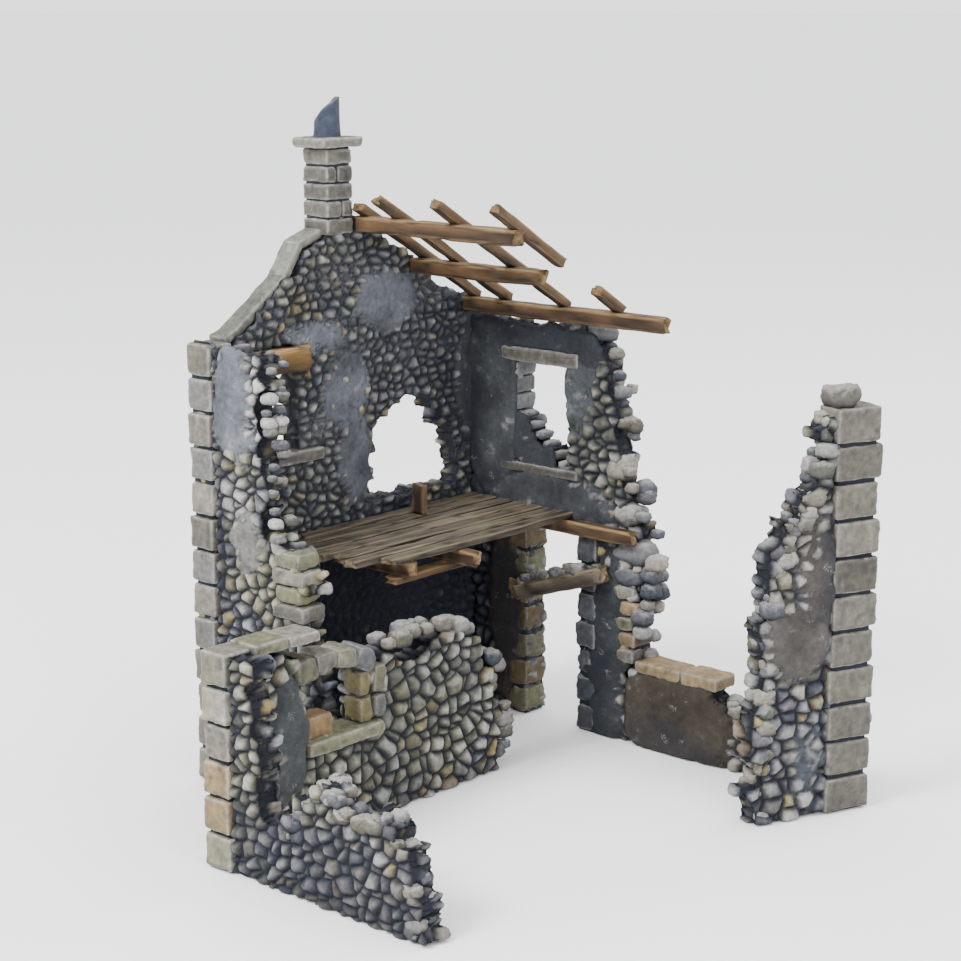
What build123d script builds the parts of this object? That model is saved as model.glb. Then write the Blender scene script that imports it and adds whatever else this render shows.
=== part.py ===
from build123d import *
import math
import os

# Tabletop ruin of a small stone house, in millimetres.
# X runs along the back wall, Y from the porch to the back wall, Z up.
# Positions below are measured from the house's own corner: u along X from the gable's inner face,
# v along Y from the outer face of the front wall, h up from the table.

# ---- driving sizes -------------------------------------------------------------------------------
house_width = 140.0      # gable's inner face to the outer corner of the right wall
house_depth = 102.5      # outer face of the front wall to the inner face of the back wall
wall_t = 8.0             # every masonry wall
lower_storey = 66.0      # table to the top of the plank floor
upper_storey = 59.0      # plank floor to the eaves
roof_rise = 29.0         # eaves to the ridge
ridge_v = 53.5           # ridge line
proud = 1.0              # how far quoins and sills stand out of a wall
joint = 0.7              # open mortar joint between blocks

post_h = lower_storey + upper_storey - 2.0
quoin_rows = 13
right_h = 110.5          # right corner
right_rows = 11
right_run = 35.0         # length of the right wall stub
right_quoin_w = 13.0
right_turn = 20.8        # degrees the right wall is turned out of square
right_back = 2.5         # how far its corner stands behind the back wall's inner face

porch_out = 39.5         # how far the porch stands in front of the house
porch_u = 41.0           # outer face of the porch side wall
porch_h = 57.0
porch_rows = 6
porch_run = 101.0        # length of the porch side wall
porch_front_run = 64.0   # length of the porch front wall, from its corner

door_u, door_w = 23.0, 19.5
jamb_w = 7.0
window_u, window_w = 17.5, 19.5
window_h = upper_storey - 29.0
window_up = 12.0         # window sill above the plank floor
window_fill_h = 16.0     # height of the wedge of rubble left in the window
slot_v, slot_w, slot_h = 22.5, 9.0, 22.0
slot_up = 23.5           # slot sill above the plank floor
hole_v = 60.0            # near edge of the gable's broken hole
back_run = 62.0          # length of the tall part of the back wall
low_h = 22.5             # low back wall under its coping

chimney_v, chimney_w, chimney_h = 42.5, 10.0, 24.0
chimney_rows = 5
cap_t, cap_over = 2.8, 2.6
pot_r, pot_wall, pot_h = 3.3, 1.0, 11.5

plank_t, plank_w, plank_gap = 2.0, 6.0, 0.5
plank_starts = (28.0, 21.0, 17.0, 16.5, 20.0, 18.0, 26.0)
joist_w, joist_t = 4.0, 4.0
beam_w, beam_t = 4.5, 3.8
rafter_w, rafter_t = 3.2, 2.6
ridge_run, purlin_run, eave_run = 59.0, 48.5, 75.0
rafter_u = (1.0, 13.0, 35.0, 55.5)
rafter_over = 6.0        # rafters poke past the ridge

# ---- derived places ------------------------------------------------------------------------------
deck_top = lower_storey
eave_h = lower_storey + upper_storey
ridge_h = eave_h + roof_rise
rafter_span = house_depth - ridge_v
roof_slope = roof_rise / rafter_span
turn = math.radians(right_turn)
seat_h = ridge_h - 6.0
deck_run = len(plank_starts) * plank_w
back_v = house_depth + wall_t
porch_v = -porch_out
right_v = house_depth + right_back
joist_top = deck_top - plank_t
door_h = joist_top - joist_t

x_lo = -wall_t - proud
x_hi = house_width + proud * math.cos(turn)
y_lo = porch_v - proud
y_hi = back_v
ox = -(x_lo + x_hi) / 2
oy = -(y_lo + y_hi) / 2


def side_plane(u):
    """Upright plane at u that faces +X: its x runs along v and its y up."""
    return Plane(origin=(ox + u, oy, 0), x_dir=(0, 1, 0), z_dir=(1, 0, 0))


def front_plane(v):
    """Upright plane at v that faces -Y: its x runs along u and its y up."""
    return Plane(origin=(ox, oy + v, 0), x_dir=(1, 0, 0), z_dir=(0, -1, 0))


def right_plane():
    """Outer face of the right wall: x runs back to the corner, which is at x = 0."""
    return Plane(
        origin=(ox + house_width, oy + right_v, 0),
        x_dir=(math.sin(turn), math.cos(turn), 0),
        z_dir=(math.cos(turn), -math.sin(turn), 0),
    )


def roof_line(v):
    """Height of the rafters' underside."""
    return ridge_h - roof_slope * (v - ridge_v)


def save(part, name):
    part.label = name
    export_step(part, f"parts/{name}.step")


os.makedirs("parts", exist_ok=True)

# ---- gable ---------------------------------------------------------------------------------------
slot_h0 = deck_top + slot_up
slot_lintel_t = 7.5
slot_sill_t = 3.5
slot_bear = 4.0

with BuildPart() as gable_wall:
    with BuildSketch(side_plane(-wall_t)):
        with BuildLine():
            Polyline(
                (wall_t, 0),
                (back_v, 0),
                (back_v, roof_line(back_v)),
                (ridge_v + 1, roof_line(ridge_v + 1)),
                (chimney_v + chimney_w, ridge_h),
                (chimney_v + chimney_w, seat_h),
                (chimney_v, seat_h),
                (chimney_v - 7.5, seat_h - 2),
                (chimney_v - 13, seat_h - 10.5),
                (chimney_v - 17, seat_h - 13.5),
                (wall_t + 3.5, post_h + 1.5),
                (wall_t, post_h),
                close=True,
            )
        make_face()
        with Locations((slot_v + slot_w / 2, slot_h0 + slot_h / 2)):
            Rectangle(slot_w, slot_h, mode=Mode.SUBTRACT)
        with Locations((slot_v + slot_w / 2, slot_h0 + slot_h + slot_lintel_t / 2)):
            Rectangle(slot_w + 2 * slot_bear, slot_lintel_t, mode=Mode.SUBTRACT)
        with Locations((slot_v + slot_w / 2 + slot_bear / 2, slot_h0 - slot_sill_t / 2)):
            Rectangle(slot_w + 3 * slot_bear, slot_sill_t, mode=Mode.SUBTRACT)
        with BuildLine():
            Polyline(
                (hole_v, deck_top + 3),
                (hole_v + 36, deck_top + 3),
                (hole_v + 37, deck_top + 11),
                (hole_v + 35, deck_top + 19.5),
                (hole_v + 29.5, deck_top + 23),
                (hole_v + 25, deck_top + 30),
                (hole_v + 19, deck_top + 32.5),
                (hole_v + 12, deck_top + 31),
                (hole_v + 5, deck_top + 27),
                (hole_v + 0.5, deck_top + 25),
                close=True,
            )
        make_face(mode=Mode.SUBTRACT)
    extrude(amount=wall_t)
save(gable_wall.part, "gable_wall")

with BuildPart() as slot_lintel:
    with BuildSketch(side_plane(-wall_t)):
        with Locations((slot_v + slot_w / 2, slot_h0 + slot_h + slot_lintel_t / 2)):
            Rectangle(slot_w + 2 * slot_bear, slot_lintel_t)
    extrude(amount=wall_t + proud)
    chamfer(slot_lintel.edges().filter_by(Axis.X), 0.8)
save(slot_lintel.part, "slot_lintel")

with BuildPart() as slot_sill:
    with BuildSketch(side_plane(-wall_t)):
        with Locations((slot_v + slot_w / 2 + slot_bear / 2, slot_h0 - slot_sill_t / 2)):
            Rectangle(slot_w + 3 * slot_bear, slot_sill_t)
    extrude(amount=wall_t + proud)
save(slot_sill.part, "slot_sill")

# ---- corner blocks -------------------------------------------------------------------------------


def block_height(total, rows):
    """One block, with an open joint above it."""
    return total / rows - joint


with BuildPart() as house_quoins:
    quoin_h = block_height(post_h, quoin_rows)
    for row in range(quoin_rows):
        with Locations((ox - wall_t - proud, oy - proud, row * post_h / quoin_rows)):
            Box(wall_t + proud, wall_t + proud, quoin_h, align=(Align.MIN, Align.MIN, Align.MIN))
    chamfer(house_quoins.edges().filter_by(Axis.Z).group_by(Axis.Y)[0], 0.8)
save(house_quoins.part, "house_quoins")

with BuildPart() as porch_quoins:
    quoin_h = block_height(porch_h, porch_rows)
    for row in range(porch_rows):
        with Locations((ox + porch_u - proud, oy + porch_v - proud, row * porch_h / porch_rows)):
            Box(wall_t + proud, wall_t + proud, quoin_h, align=(Align.MIN, Align.MIN, Align.MIN))
    chamfer(porch_quoins.edges().filter_by(Axis.Z).group_by(Axis.Y)[0], 0.8)
save(porch_quoins.part, "porch_quoins")

with BuildPart() as right_quoins:
    quoin_h = block_height(right_h, right_rows)
    for row in range(right_rows):
        with BuildSketch(right_plane().offset(-wall_t)):
            with Locations((-right_quoin_w / 2, row * right_h / right_rows + quoin_h / 2)):
                Rectangle(right_quoin_w, quoin_h)
    extrude(amount=wall_t + proud)
    chamfer(right_quoins.edges().filter_by(Axis.Z).group_by(Axis.X)[-1], 0.8)
save(right_quoins.part, "right_quoins")

# ---- right wall stub -----------------------------------------------------------------------------
with BuildPart() as right_wall:
    with BuildSketch(right_plane().offset(-wall_t)):
        with BuildLine():
            Polyline(
                (-right_quoin_w, 0),
                (-right_quoin_w, right_h - joint),
                (-right_quoin_w - 3, right_h - 2),
                (-right_quoin_w - 5.5, right_h - 14),
                (-right_quoin_w - 8, right_h - 25),
                (-right_quoin_w - 13.5, right_h - 30),
                (-right_quoin_w - 18.5, right_h - 40),
                (-right_quoin_w - 20.5, right_h - 54),
                (-right_quoin_w - 21, right_h - 71),
                (-right_quoin_w - 21.5, right_h - 75),
                (-right_run, right_h - 86),
                (-right_run, 0),
                close=True,
            )
        make_face()
    extrude(amount=wall_t)
save(right_wall.part, "right_wall")

with BuildPart() as right_top_stone:
    with BuildSketch(right_plane().offset(-wall_t + 0.8)):
        with Locations((-right_quoin_w + 2.5, right_h - joint + 2.8)):
            RectangleRounded(9.0, 5.6, 1.8)
    extrude(amount=wall_t - 1.2)
save(right_top_stone.part, "right_top_stone")

# ---- front wall stub of the house ----------------------------------------------------------------
with BuildPart() as front_wall:
    with BuildSketch(front_plane(wall_t)):
        with BuildLine():
            Polyline(
                (0, 0),
                (porch_u, 0),
                (porch_u, 26),
                (porch_u - 3, 26),
                (porch_u - 5, deck_top - 26),
                (porch_u - 7, deck_top - 14),
                (porch_u - 7, deck_top + 4),
                (21, deck_top + 6),
                (19, deck_top + 24),
                (17.5, deck_top + 40),
                (19.5, post_h - 3),
                (0, post_h),
                close=True,
            )
        make_face()
    extrude(amount=wall_t)
save(front_wall.part, "front_wall")

# ---- back wall -----------------------------------------------------------------------------------
window_h0 = deck_top + window_up
lintel_t = 4.5
lintel_bear = 5.0
sill_t = 3.0
jamb_rows = 7
jamb_block_h = door_h / jamb_rows - joint

with BuildPart() as back_wall:
    with BuildSketch(front_plane(back_v)):
        with BuildLine():
            Polyline(
                (0, 0),
                (back_run, 0),
                (back_run, low_h + 2),
                (back_run + 1, deck_top - 26),
                (back_run + 5, deck_top - 9),
                (back_run + 2.5, deck_top - 6.5),
                (back_run - 6.5, deck_top + 16),
                (back_run - 8.5, eave_h - 20),
                (back_run - 12, eave_h - 5),
                (0, eave_h - 5),
                close=True,
            )
        make_face()
        with Locations((door_u + door_w / 2, door_h / 2)):
            Rectangle(door_w + 2 * jamb_w, door_h, mode=Mode.SUBTRACT)
        with Locations((window_u + window_w / 2, window_h0 + window_h / 2)):
            Rectangle(window_w, window_h, mode=Mode.SUBTRACT)
        with Locations((window_u + window_w / 2, window_h0 + window_h + lintel_t / 2)):
            Rectangle(window_w + 2 * lintel_bear, lintel_t, mode=Mode.SUBTRACT)
        with Locations((window_u + window_w / 2, window_h0 - sill_t / 2)):
            Rectangle(window_w + 2 * lintel_bear, sill_t, mode=Mode.SUBTRACT)
    extrude(amount=wall_t)
save(back_wall.part, "back_wall")

with BuildPart() as window_lintel:
    with BuildSketch(front_plane(back_v)):
        with Locations((window_u + window_w / 2, window_h0 + window_h + lintel_t / 2)):
            Rectangle(window_w + 2 * lintel_bear, lintel_t)
    extrude(amount=wall_t + proud)
save(window_lintel.part, "window_lintel")

with BuildPart() as window_sill:
    with BuildSketch(front_plane(back_v)):
        with Locations((window_u + window_w / 2, window_h0 - sill_t / 2)):
            Rectangle(window_w + 2 * lintel_bear, sill_t)
    extrude(amount=wall_t + proud)
save(window_sill.part, "window_sill")

with BuildPart() as window_fill:
    with BuildSketch(front_plane(back_v)):
        with BuildLine():
            Polyline(
                (window_u, window_h0),
                (window_u + window_w - 0.5, window_h0),
                (window_u, window_h0 + window_fill_h),
                close=True,
            )
        make_face()
    extrude(amount=wall_t)
save(window_fill.part, "window_fill")


def jamb_stack(left_u, name):
    """Column of blocks that lines one side of the doorway."""
    with BuildPart() as jamb:
        for row in range(jamb_rows):
            with BuildSketch(front_plane(back_v)):
                with Locations((left_u + jamb_w / 2, row * door_h / jamb_rows + jamb_block_h / 2)):
                    Rectangle(jamb_w, jamb_block_h)
        extrude(amount=wall_t + proud)
    save(jamb.part, name)


jamb_stack(door_u - jamb_w, "door_left_blocks")
jamb_stack(door_u + door_w, "door_right_blocks")

fallen_t = 3.6
fallen_tilt = 19.0
fallen_h = 37.0
with BuildPart() as fallen_lintel:
    with BuildSketch(front_plane(house_depth - proud)):
        with Locations((door_u - 1, fallen_h)):
            with Locations(Rotation(0, 0, fallen_tilt)):
                Rectangle(door_w + 16, fallen_t, align=(Align.MIN, Align.MIN))
    extrude(amount=4.0)
save(fallen_lintel.part, "fallen_lintel")

with BuildPart() as lintel_rubble:
    with BuildSketch(front_plane(house_depth - proud)):
        with Locations((door_u - 1, fallen_h)):
            with Locations(Rotation(0, 0, fallen_tilt)):
                for along in (4.0, 9.0, 13.5, 18.0, 23.5):
                    with Locations((along, fallen_t)):
                        Rectangle(3.6, 2.6, align=(Align.MIN, Align.MIN))
    extrude(amount=3.4)
save(lintel_rubble.part, "lintel_rubble")

coping_t = 3.0
coping_run = 28.0
with BuildPart() as back_low_wall:
    with BuildSketch(front_plane(back_v)):
        with BuildLine():
            Polyline(
                (back_run, 0),
                (house_width, 0),
                (house_width, 24),
                (house_width - 12, 22),
                (house_width - 22, 16),
                (back_run + coping_run + 12, 16),
                (back_run + coping_run + 4, 19),
                (back_run + coping_run + 4, low_h),
                (back_run, low_h),
                close=True,
            )
        make_face()
    extrude(amount=wall_t)
    with BuildSketch(right_plane().offset(-wall_t)):
        with Locations((-right_run / 2, right_h / 2)):
            Rectangle(2 * right_run, 2 * right_h)
    extrude(amount=4 * wall_t, mode=Mode.SUBTRACT)
save(back_low_wall.part, "back_low_wall")

with BuildPart() as back_coping:
    with BuildSketch(front_plane(back_v)):
        with Locations((back_run + 3.0 + coping_run / 2, low_h + coping_t / 2)):
            Rectangle(coping_run, coping_t)
    extrude(amount=wall_t + proud)
save(back_coping.part, "back_coping")

# ---- chimney -------------------------------------------------------------------------------------
with BuildPart() as chimney_courses:
    course_h = chimney_h / chimney_rows
    for row in range(chimney_rows):
        inset = 0.0 if row % 2 else 0.5
        with Locations((ox - wall_t / 2, oy + chimney_v + chimney_w / 2, seat_h + row * course_h)):
            Box(
                wall_t + 2 - inset,
                chimney_w - inset,
                course_h,
                align=(Align.CENTER, Align.CENTER, Align.MIN),
            )
save(chimney_courses.part, "chimney_courses")

cap_h = seat_h + chimney_h
with BuildPart() as chimney_cap:
    with Locations((ox - wall_t / 2, oy + chimney_v + chimney_w / 2, cap_h)):
        Box(
            wall_t + 2 * cap_over,
            chimney_w + 2 * cap_over,
            cap_t,
            align=(Align.CENTER, Align.CENTER, Align.MIN),
        )
    chamfer(chimney_cap.faces().sort_by(Axis.Z)[-1].edges(), 0.8)
save(chimney_cap.part, "chimney_cap")

with BuildPart() as chimney_pot:
    with BuildSketch(Plane.XY.offset(cap_h + cap_t)):
        with Locations((ox - wall_t / 2, oy + chimney_v + chimney_w / 2)):
            Circle(pot_r)
            Circle(pot_r - pot_wall, mode=Mode.SUBTRACT)
    extrude(amount=pot_h)
    with BuildSketch(front_plane(chimney_v + chimney_w + cap_over)):
        with BuildLine():
            Polyline(
                (-wall_t / 2 - 2 * pot_r, cap_h + cap_t + 2.5),
                (-wall_t / 2 - 0.8 * pot_r, cap_h + cap_t + 6),
                (-wall_t / 2 + pot_r, cap_h + cap_t + pot_h),
                (-wall_t / 2 + pot_r, cap_h + cap_t + 2 * pot_h),
                (-wall_t / 2 - 2 * pot_r, cap_h + cap_t + 2 * pot_h),
                close=True,
            )
        make_face()
    extrude(amount=2 * chimney_w, mode=Mode.SUBTRACT)
save(chimney_pot.part, "chimney_pot")

# ---- porch ---------------------------------------------------------------------------------------
porch_window_v, porch_window_w = -13.5, 19.0
porch_window_h0, porch_window_h = 27.0, 16.0
porch_lintel_t = 5.0
porch_sill_t = 3.6
porch_coping_t = 2.6
porch_coping_run = 22.0
porch_end = porch_v + porch_run
porch_inner = porch_u + wall_t

with BuildPart() as porch_side_wall:
    with BuildSketch(side_plane(porch_u)):
        with BuildLine():
            Polyline(
                (porch_v + wall_t, 0),
                (porch_end, 0),
                (porch_end, 19),
                (porch_end - 4, 31),
                (porch_end - 9, porch_h - 18),
                (porch_end - 20, porch_h - 13),
                (porch_end - 33, porch_h - 12.5),
                (porch_end - 43, porch_h - 15),
                (porch_end - 46, porch_window_h0 + porch_window_h),
                (porch_window_v - 3, porch_window_h0 + porch_window_h),
                (porch_window_v - 3, porch_h - 3),
                (porch_v + wall_t, porch_h - 3),
                close=True,
            )
        make_face()
        with Locations((porch_window_v, porch_window_h0)):
            Rectangle(
                porch_window_w,
                porch_window_h + 1,
                align=(Align.MIN, Align.MIN),
                mode=Mode.SUBTRACT,
            )
        with Locations((porch_window_v, porch_window_h0 - porch_sill_t)):
            Rectangle(
                porch_window_w + 7,
                porch_sill_t,
                align=(Align.MIN, Align.MIN),
                mode=Mode.SUBTRACT,
            )
    extrude(amount=wall_t)
save(porch_side_wall.part, "porch_side_wall")

with BuildPart() as porch_sill:
    with BuildSketch(side_plane(porch_u)):
        with Locations((porch_window_v, porch_window_h0 - porch_sill_t)):
            Rectangle(porch_window_w + 7, porch_sill_t, align=(Align.MIN, Align.MIN))
    extrude(amount=wall_t + 1.5 * proud)
save(porch_sill.part, "porch_sill")

with BuildPart() as porch_lintel:
    with BuildSketch(side_plane(porch_u)):
        with Locations((porch_window_v - 3, porch_window_h0 + porch_window_h)):
            Rectangle(porch_window_w + 9, porch_lintel_t, align=(Align.MIN, Align.MIN))
    extrude(amount=wall_t + proud)
save(porch_lintel.part, "porch_lintel")

with BuildPart() as porch_coping:
    with BuildSketch(side_plane(porch_u)):
        with Locations((porch_v + wall_t, porch_h - 3)):
            Rectangle(porch_coping_run, porch_coping_t, align=(Align.MIN, Align.MIN))
    extrude(amount=wall_t + proud)
save(porch_coping.part, "porch_coping")

with BuildPart() as porch_brick:
    with BuildSketch(side_plane(porch_u + 1)):
        with Locations((porch_window_v + 1.5, porch_window_h0)):
            Rectangle(8.5, 6.0, align=(Align.MIN, Align.MIN))
    extrude(amount=wall_t - 2)
save(porch_brick.part, "porch_brick")

with BuildPart() as porch_front_wall:
    with BuildSketch(front_plane(porch_v + wall_t)):
        with BuildLine():
            Polyline(
                (porch_inner, 0),
                (porch_inner + porch_front_run, 0),
                (porch_inner + porch_front_run - 2, 17),
                (porch_inner + porch_front_run - 8, 24),
                (porch_inner + 52, 30),
                (porch_inner + 46, 27),
                (porch_inner + 41, 25),
                (porch_inner + 36, 31),
                (porch_inner + 30, 32),
                (porch_inner + 26, 27),
                (porch_inner + 15, 15),
                (porch_inner + 9.5, 20),
                (porch_inner + 8.5, porch_h - 11),
                (porch_inner + 8, porch_h - 2),
                (porch_inner, porch_h - 2),
                close=True,
            )
        make_face()
    extrude(amount=wall_t)
save(porch_front_wall.part, "porch_front_wall")

# ---- plank floor ---------------------------------------------------------------------------------
middle_joist_v = 52.0
front_joist_v = 32.0

with BuildPart() as front_joist:
    with BuildSketch(side_plane(0)):
        with Locations((front_joist_v, joist_top - joist_t)):
            Rectangle(joist_w, joist_t, align=(Align.MIN, Align.MIN))
    extrude(amount=deck_run - 1)
save(front_joist.part, "front_joist")

with BuildPart() as middle_joist:
    with BuildSketch(side_plane(0)):
        with Locations((middle_joist_v, joist_top - joist_t)):
            Rectangle(joist_w, joist_t, align=(Align.MIN, Align.MIN))
    extrude(amount=deck_run + 5)
save(middle_joist.part, "middle_joist")

with BuildPart() as ledge_beam:
    with BuildSketch(side_plane(0)):
        with Locations((house_depth, joist_top - joist_t)):
            Rectangle(joist_w, joist_t, align=(Align.MAX, Align.MIN))
    extrude(amount=back_run + 2)
save(ledge_beam.part, "ledge_beam")

for index, start in enumerate(plank_starts):
    with BuildPart() as plank:
        with BuildSketch(Plane.XY.offset(joist_top)):
            with Locations((ox + index * plank_w, oy + start)):
                Rectangle(
                    plank_w - plank_gap,
                    house_depth - start,
                    align=(Align.MIN, Align.MIN),
                )
        extrude(amount=plank_t)
    save(plank.part, f"floor_plank_{index + 1}")

board_w, board_t, board_h = 5.0, 2.0, 9.0
with BuildPart() as upright_board:
    with BuildSketch(Plane.XY.offset(deck_top)):
        with Locations((ox + plank_w + plank_w / 2, oy + 70.0)):
            Rectangle(board_w, board_t)
    extrude(amount=board_h)
save(upright_board.part, "upright_board")

with BuildPart() as broken_plank:
    with BuildSketch(Plane.XY.offset(joist_top - joist_t - plank_t)):
        with Locations((ox + deck_run - 8.0, oy + 29.0)):
            Rectangle(5.0, 30.0, align=(Align.MIN, Align.MIN))
    extrude(amount=plank_t)
save(broken_plank.part, "broken_plank")

# ---- roof ----------------------------------------------------------------------------------------


def roof_beam(v, run, name):
    """Beam along X whose top follows the roof, butted against the gable."""
    with BuildPart() as beam:
        with BuildSketch(side_plane(0)):
            with BuildLine():
                Polyline(
                    (v, roof_line(v + beam_w) - beam_t),
                    (v + beam_w, roof_line(v + beam_w) - beam_t),
                    (v + beam_w, roof_line(v + beam_w)),
                    (v, roof_line(v)),
                    close=True,
                )
            make_face()
        extrude(amount=run)
    save(beam.part, name)


roof_beam(ridge_v, ridge_run, "ridge_beam")
roof_beam((ridge_v + house_depth) / 2 - beam_w / 2, purlin_run, "middle_purlin")
roof_beam(house_depth - beam_w, eave_run, "eave_beam")


def rafter(u, v0, v1, name):
    """Rafter lying on the beams between two places down the slope."""
    with BuildPart() as bar:
        with BuildSketch(side_plane(u)):
            with BuildLine():
                Polyline(
                    (v0, roof_line(v0)),
                    (v1, roof_line(v1)),
                    (v1, roof_line(v1) + rafter_t),
                    (v0, roof_line(v0) + rafter_t),
                    close=True,
                )
            make_face()
        extrude(amount=rafter_w)
    save(bar.part, name)


rafter(rafter_u[0], ridge_v - 1, house_depth, "rafter_1")
rafter(rafter_u[1], ridge_v - rafter_over, house_depth, "rafter_2")
rafter(rafter_u[2], ridge_v - rafter_over, house_depth, "rafter_3")
rafter(rafter_u[3], ridge_v - rafter_over, ridge_v + 0.45 * rafter_span, "rafter_4_upper")
rafter(rafter_u[3], house_depth - 0.25 * rafter_span, house_depth, "rafter_4_lower")
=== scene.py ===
import math

import bpy
import numpy as np
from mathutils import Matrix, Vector


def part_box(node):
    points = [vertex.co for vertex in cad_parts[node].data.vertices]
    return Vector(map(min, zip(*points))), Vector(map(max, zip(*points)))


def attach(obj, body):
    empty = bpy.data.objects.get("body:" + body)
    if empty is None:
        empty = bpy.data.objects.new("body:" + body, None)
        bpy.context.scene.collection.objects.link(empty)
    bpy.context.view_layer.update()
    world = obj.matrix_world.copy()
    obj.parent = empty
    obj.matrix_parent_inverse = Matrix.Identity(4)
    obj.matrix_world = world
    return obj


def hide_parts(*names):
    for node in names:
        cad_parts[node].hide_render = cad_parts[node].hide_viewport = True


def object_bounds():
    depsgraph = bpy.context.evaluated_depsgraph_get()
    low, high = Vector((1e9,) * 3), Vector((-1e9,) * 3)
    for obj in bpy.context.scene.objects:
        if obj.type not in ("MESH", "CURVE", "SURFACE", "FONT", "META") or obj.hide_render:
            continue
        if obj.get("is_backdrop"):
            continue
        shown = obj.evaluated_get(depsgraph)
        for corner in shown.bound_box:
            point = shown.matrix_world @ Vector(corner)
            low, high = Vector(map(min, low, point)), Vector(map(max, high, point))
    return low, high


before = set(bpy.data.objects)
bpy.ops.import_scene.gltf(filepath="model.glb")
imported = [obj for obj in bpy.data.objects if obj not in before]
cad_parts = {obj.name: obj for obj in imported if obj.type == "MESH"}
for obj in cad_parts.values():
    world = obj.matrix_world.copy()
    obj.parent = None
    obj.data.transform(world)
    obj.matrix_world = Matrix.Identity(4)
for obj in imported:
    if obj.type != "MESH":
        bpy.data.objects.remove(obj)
cad_lo, cad_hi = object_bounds()

# Everything is worked out in millimetres and turned into metres when a mesh is made.
MM = 0.001


def node_box(node):
    """A CAD piece's low corner, high corner and middle."""
    lo, hi = (np.array(end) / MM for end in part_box(node))
    return lo, hi, (lo + hi) / 2


U0 = node_box("gable_wall")[1][0]  # the gable's inner face
V0 = node_box("front_wall")[0][1]  # the outer face of the house's front wall
WALL = node_box("back_wall")[1][1] - node_box("back_wall")[0][1]
BACK_V = node_box("back_wall")[0][1] - V0  # the back wall's inner face
PORCH_U = node_box("porch_side_wall")[0][0] - U0
PORCH_V = node_box("porch_front_wall")[0][1] - V0


# ---- noise ----
def lattice(ix, iy, iz, seed):
    """A repeatable number from 0 to 1 for each whole-number place."""
    h = ix * 374761393 + iy * 668265263 + iz * 2147483647 + seed * 974634777
    h = (h ^ (h >> 13)) * 1274126177
    h = h ^ (h >> 16)
    return (h & 0xFFFFFF) / float(0xFFFFFF)


def chance(a, b, c, seed):
    """One repeatable number from 0 to 1."""
    return lattice(np.array([a]), np.array([b]), np.array([c]), seed)[0]


def noise(p, size, seed):
    """Smooth noise from -1 to 1 at points p, with bumps about size across."""
    q = np.asarray(p, float) / np.asarray(size, float)
    base = np.floor(q).astype(np.int64)
    f = q - base
    f = f * f * (3 - 2 * f)
    total = np.zeros(len(q))
    for dx in (0, 1):
        for dy in (0, 1):
            for dz in (0, 1):
                w = np.abs(1 - dx - f[:, 0]) * np.abs(1 - dy - f[:, 1]) * np.abs(1 - dz - f[:, 2])
                total += w * lattice(base[:, 0] + dx, base[:, 1] + dy, base[:, 2] + dz, seed)
    return total * 2 - 1


def fbm(p, size, seed, octaves=3):
    total, amp, norm = 0.0, 1.0, 0.0
    for k in range(octaves):
        total = total + amp * noise(p, np.asarray(size, float) / 2**k, seed + 17 * k)
        norm += amp
        amp *= 0.55
    return total / norm


def step(lo, hi, x):
    t = np.clip((x - lo) / (hi - lo), 0, 1)
    return t * t * (3 - 2 * t)


def mix(a, b, t):
    t = np.asarray(t)[:, None] if np.ndim(t) == 1 else t
    return a * (1 - t) + np.asarray(b) * t


# ---- paints (linear) ----
WASH = np.array((0.008, 0.010, 0.017))
PALE = np.array((0.50, 0.49, 0.46))
STONES = np.array(
    [
        (0.085, 0.091, 0.105),
        (0.125, 0.127, 0.132),
        (0.170, 0.166, 0.158),
        (0.052, 0.058, 0.074),
        (0.105, 0.098, 0.116),
        (0.105, 0.098, 0.068),
        (0.200, 0.185, 0.150),
        (0.092, 0.096, 0.078),
    ]
)
YELLOW = np.array((0.33, 0.26, 0.10))
BROWN = np.array((0.155, 0.112, 0.058))
LILAC = np.array((0.120, 0.128, 0.150))
MORTAR = np.array((0.061, 0.067, 0.074))
PANEL = np.array((0.088, 0.080, 0.072))
OLIVE = np.array((0.16, 0.155, 0.085))
# colour of painted shade, laid under the floor, in inner corners and along the foot of walls
PAINTED_SHADE = np.array((0.011, 0.014, 0.026))
TAUPE = np.array((0.140, 0.128, 0.108))
CREAM = np.array((0.50, 0.47, 0.38))
VERGE = np.array((0.15, 0.15, 0.125))
SLATE_GREY = np.array((0.046, 0.051, 0.053))
BLUE_GREY = np.array((0.125, 0.135, 0.155))
GREEN_GREY = np.array((0.080, 0.092, 0.092))
DARK_BROWN = np.array((0.045, 0.036, 0.026))
BRICK = np.array((0.22, 0.135, 0.06))
SLATE = np.array((0.040, 0.052, 0.078))
DEPTH = 0.74  # how deep all paints are laid against the pale studio


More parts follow.
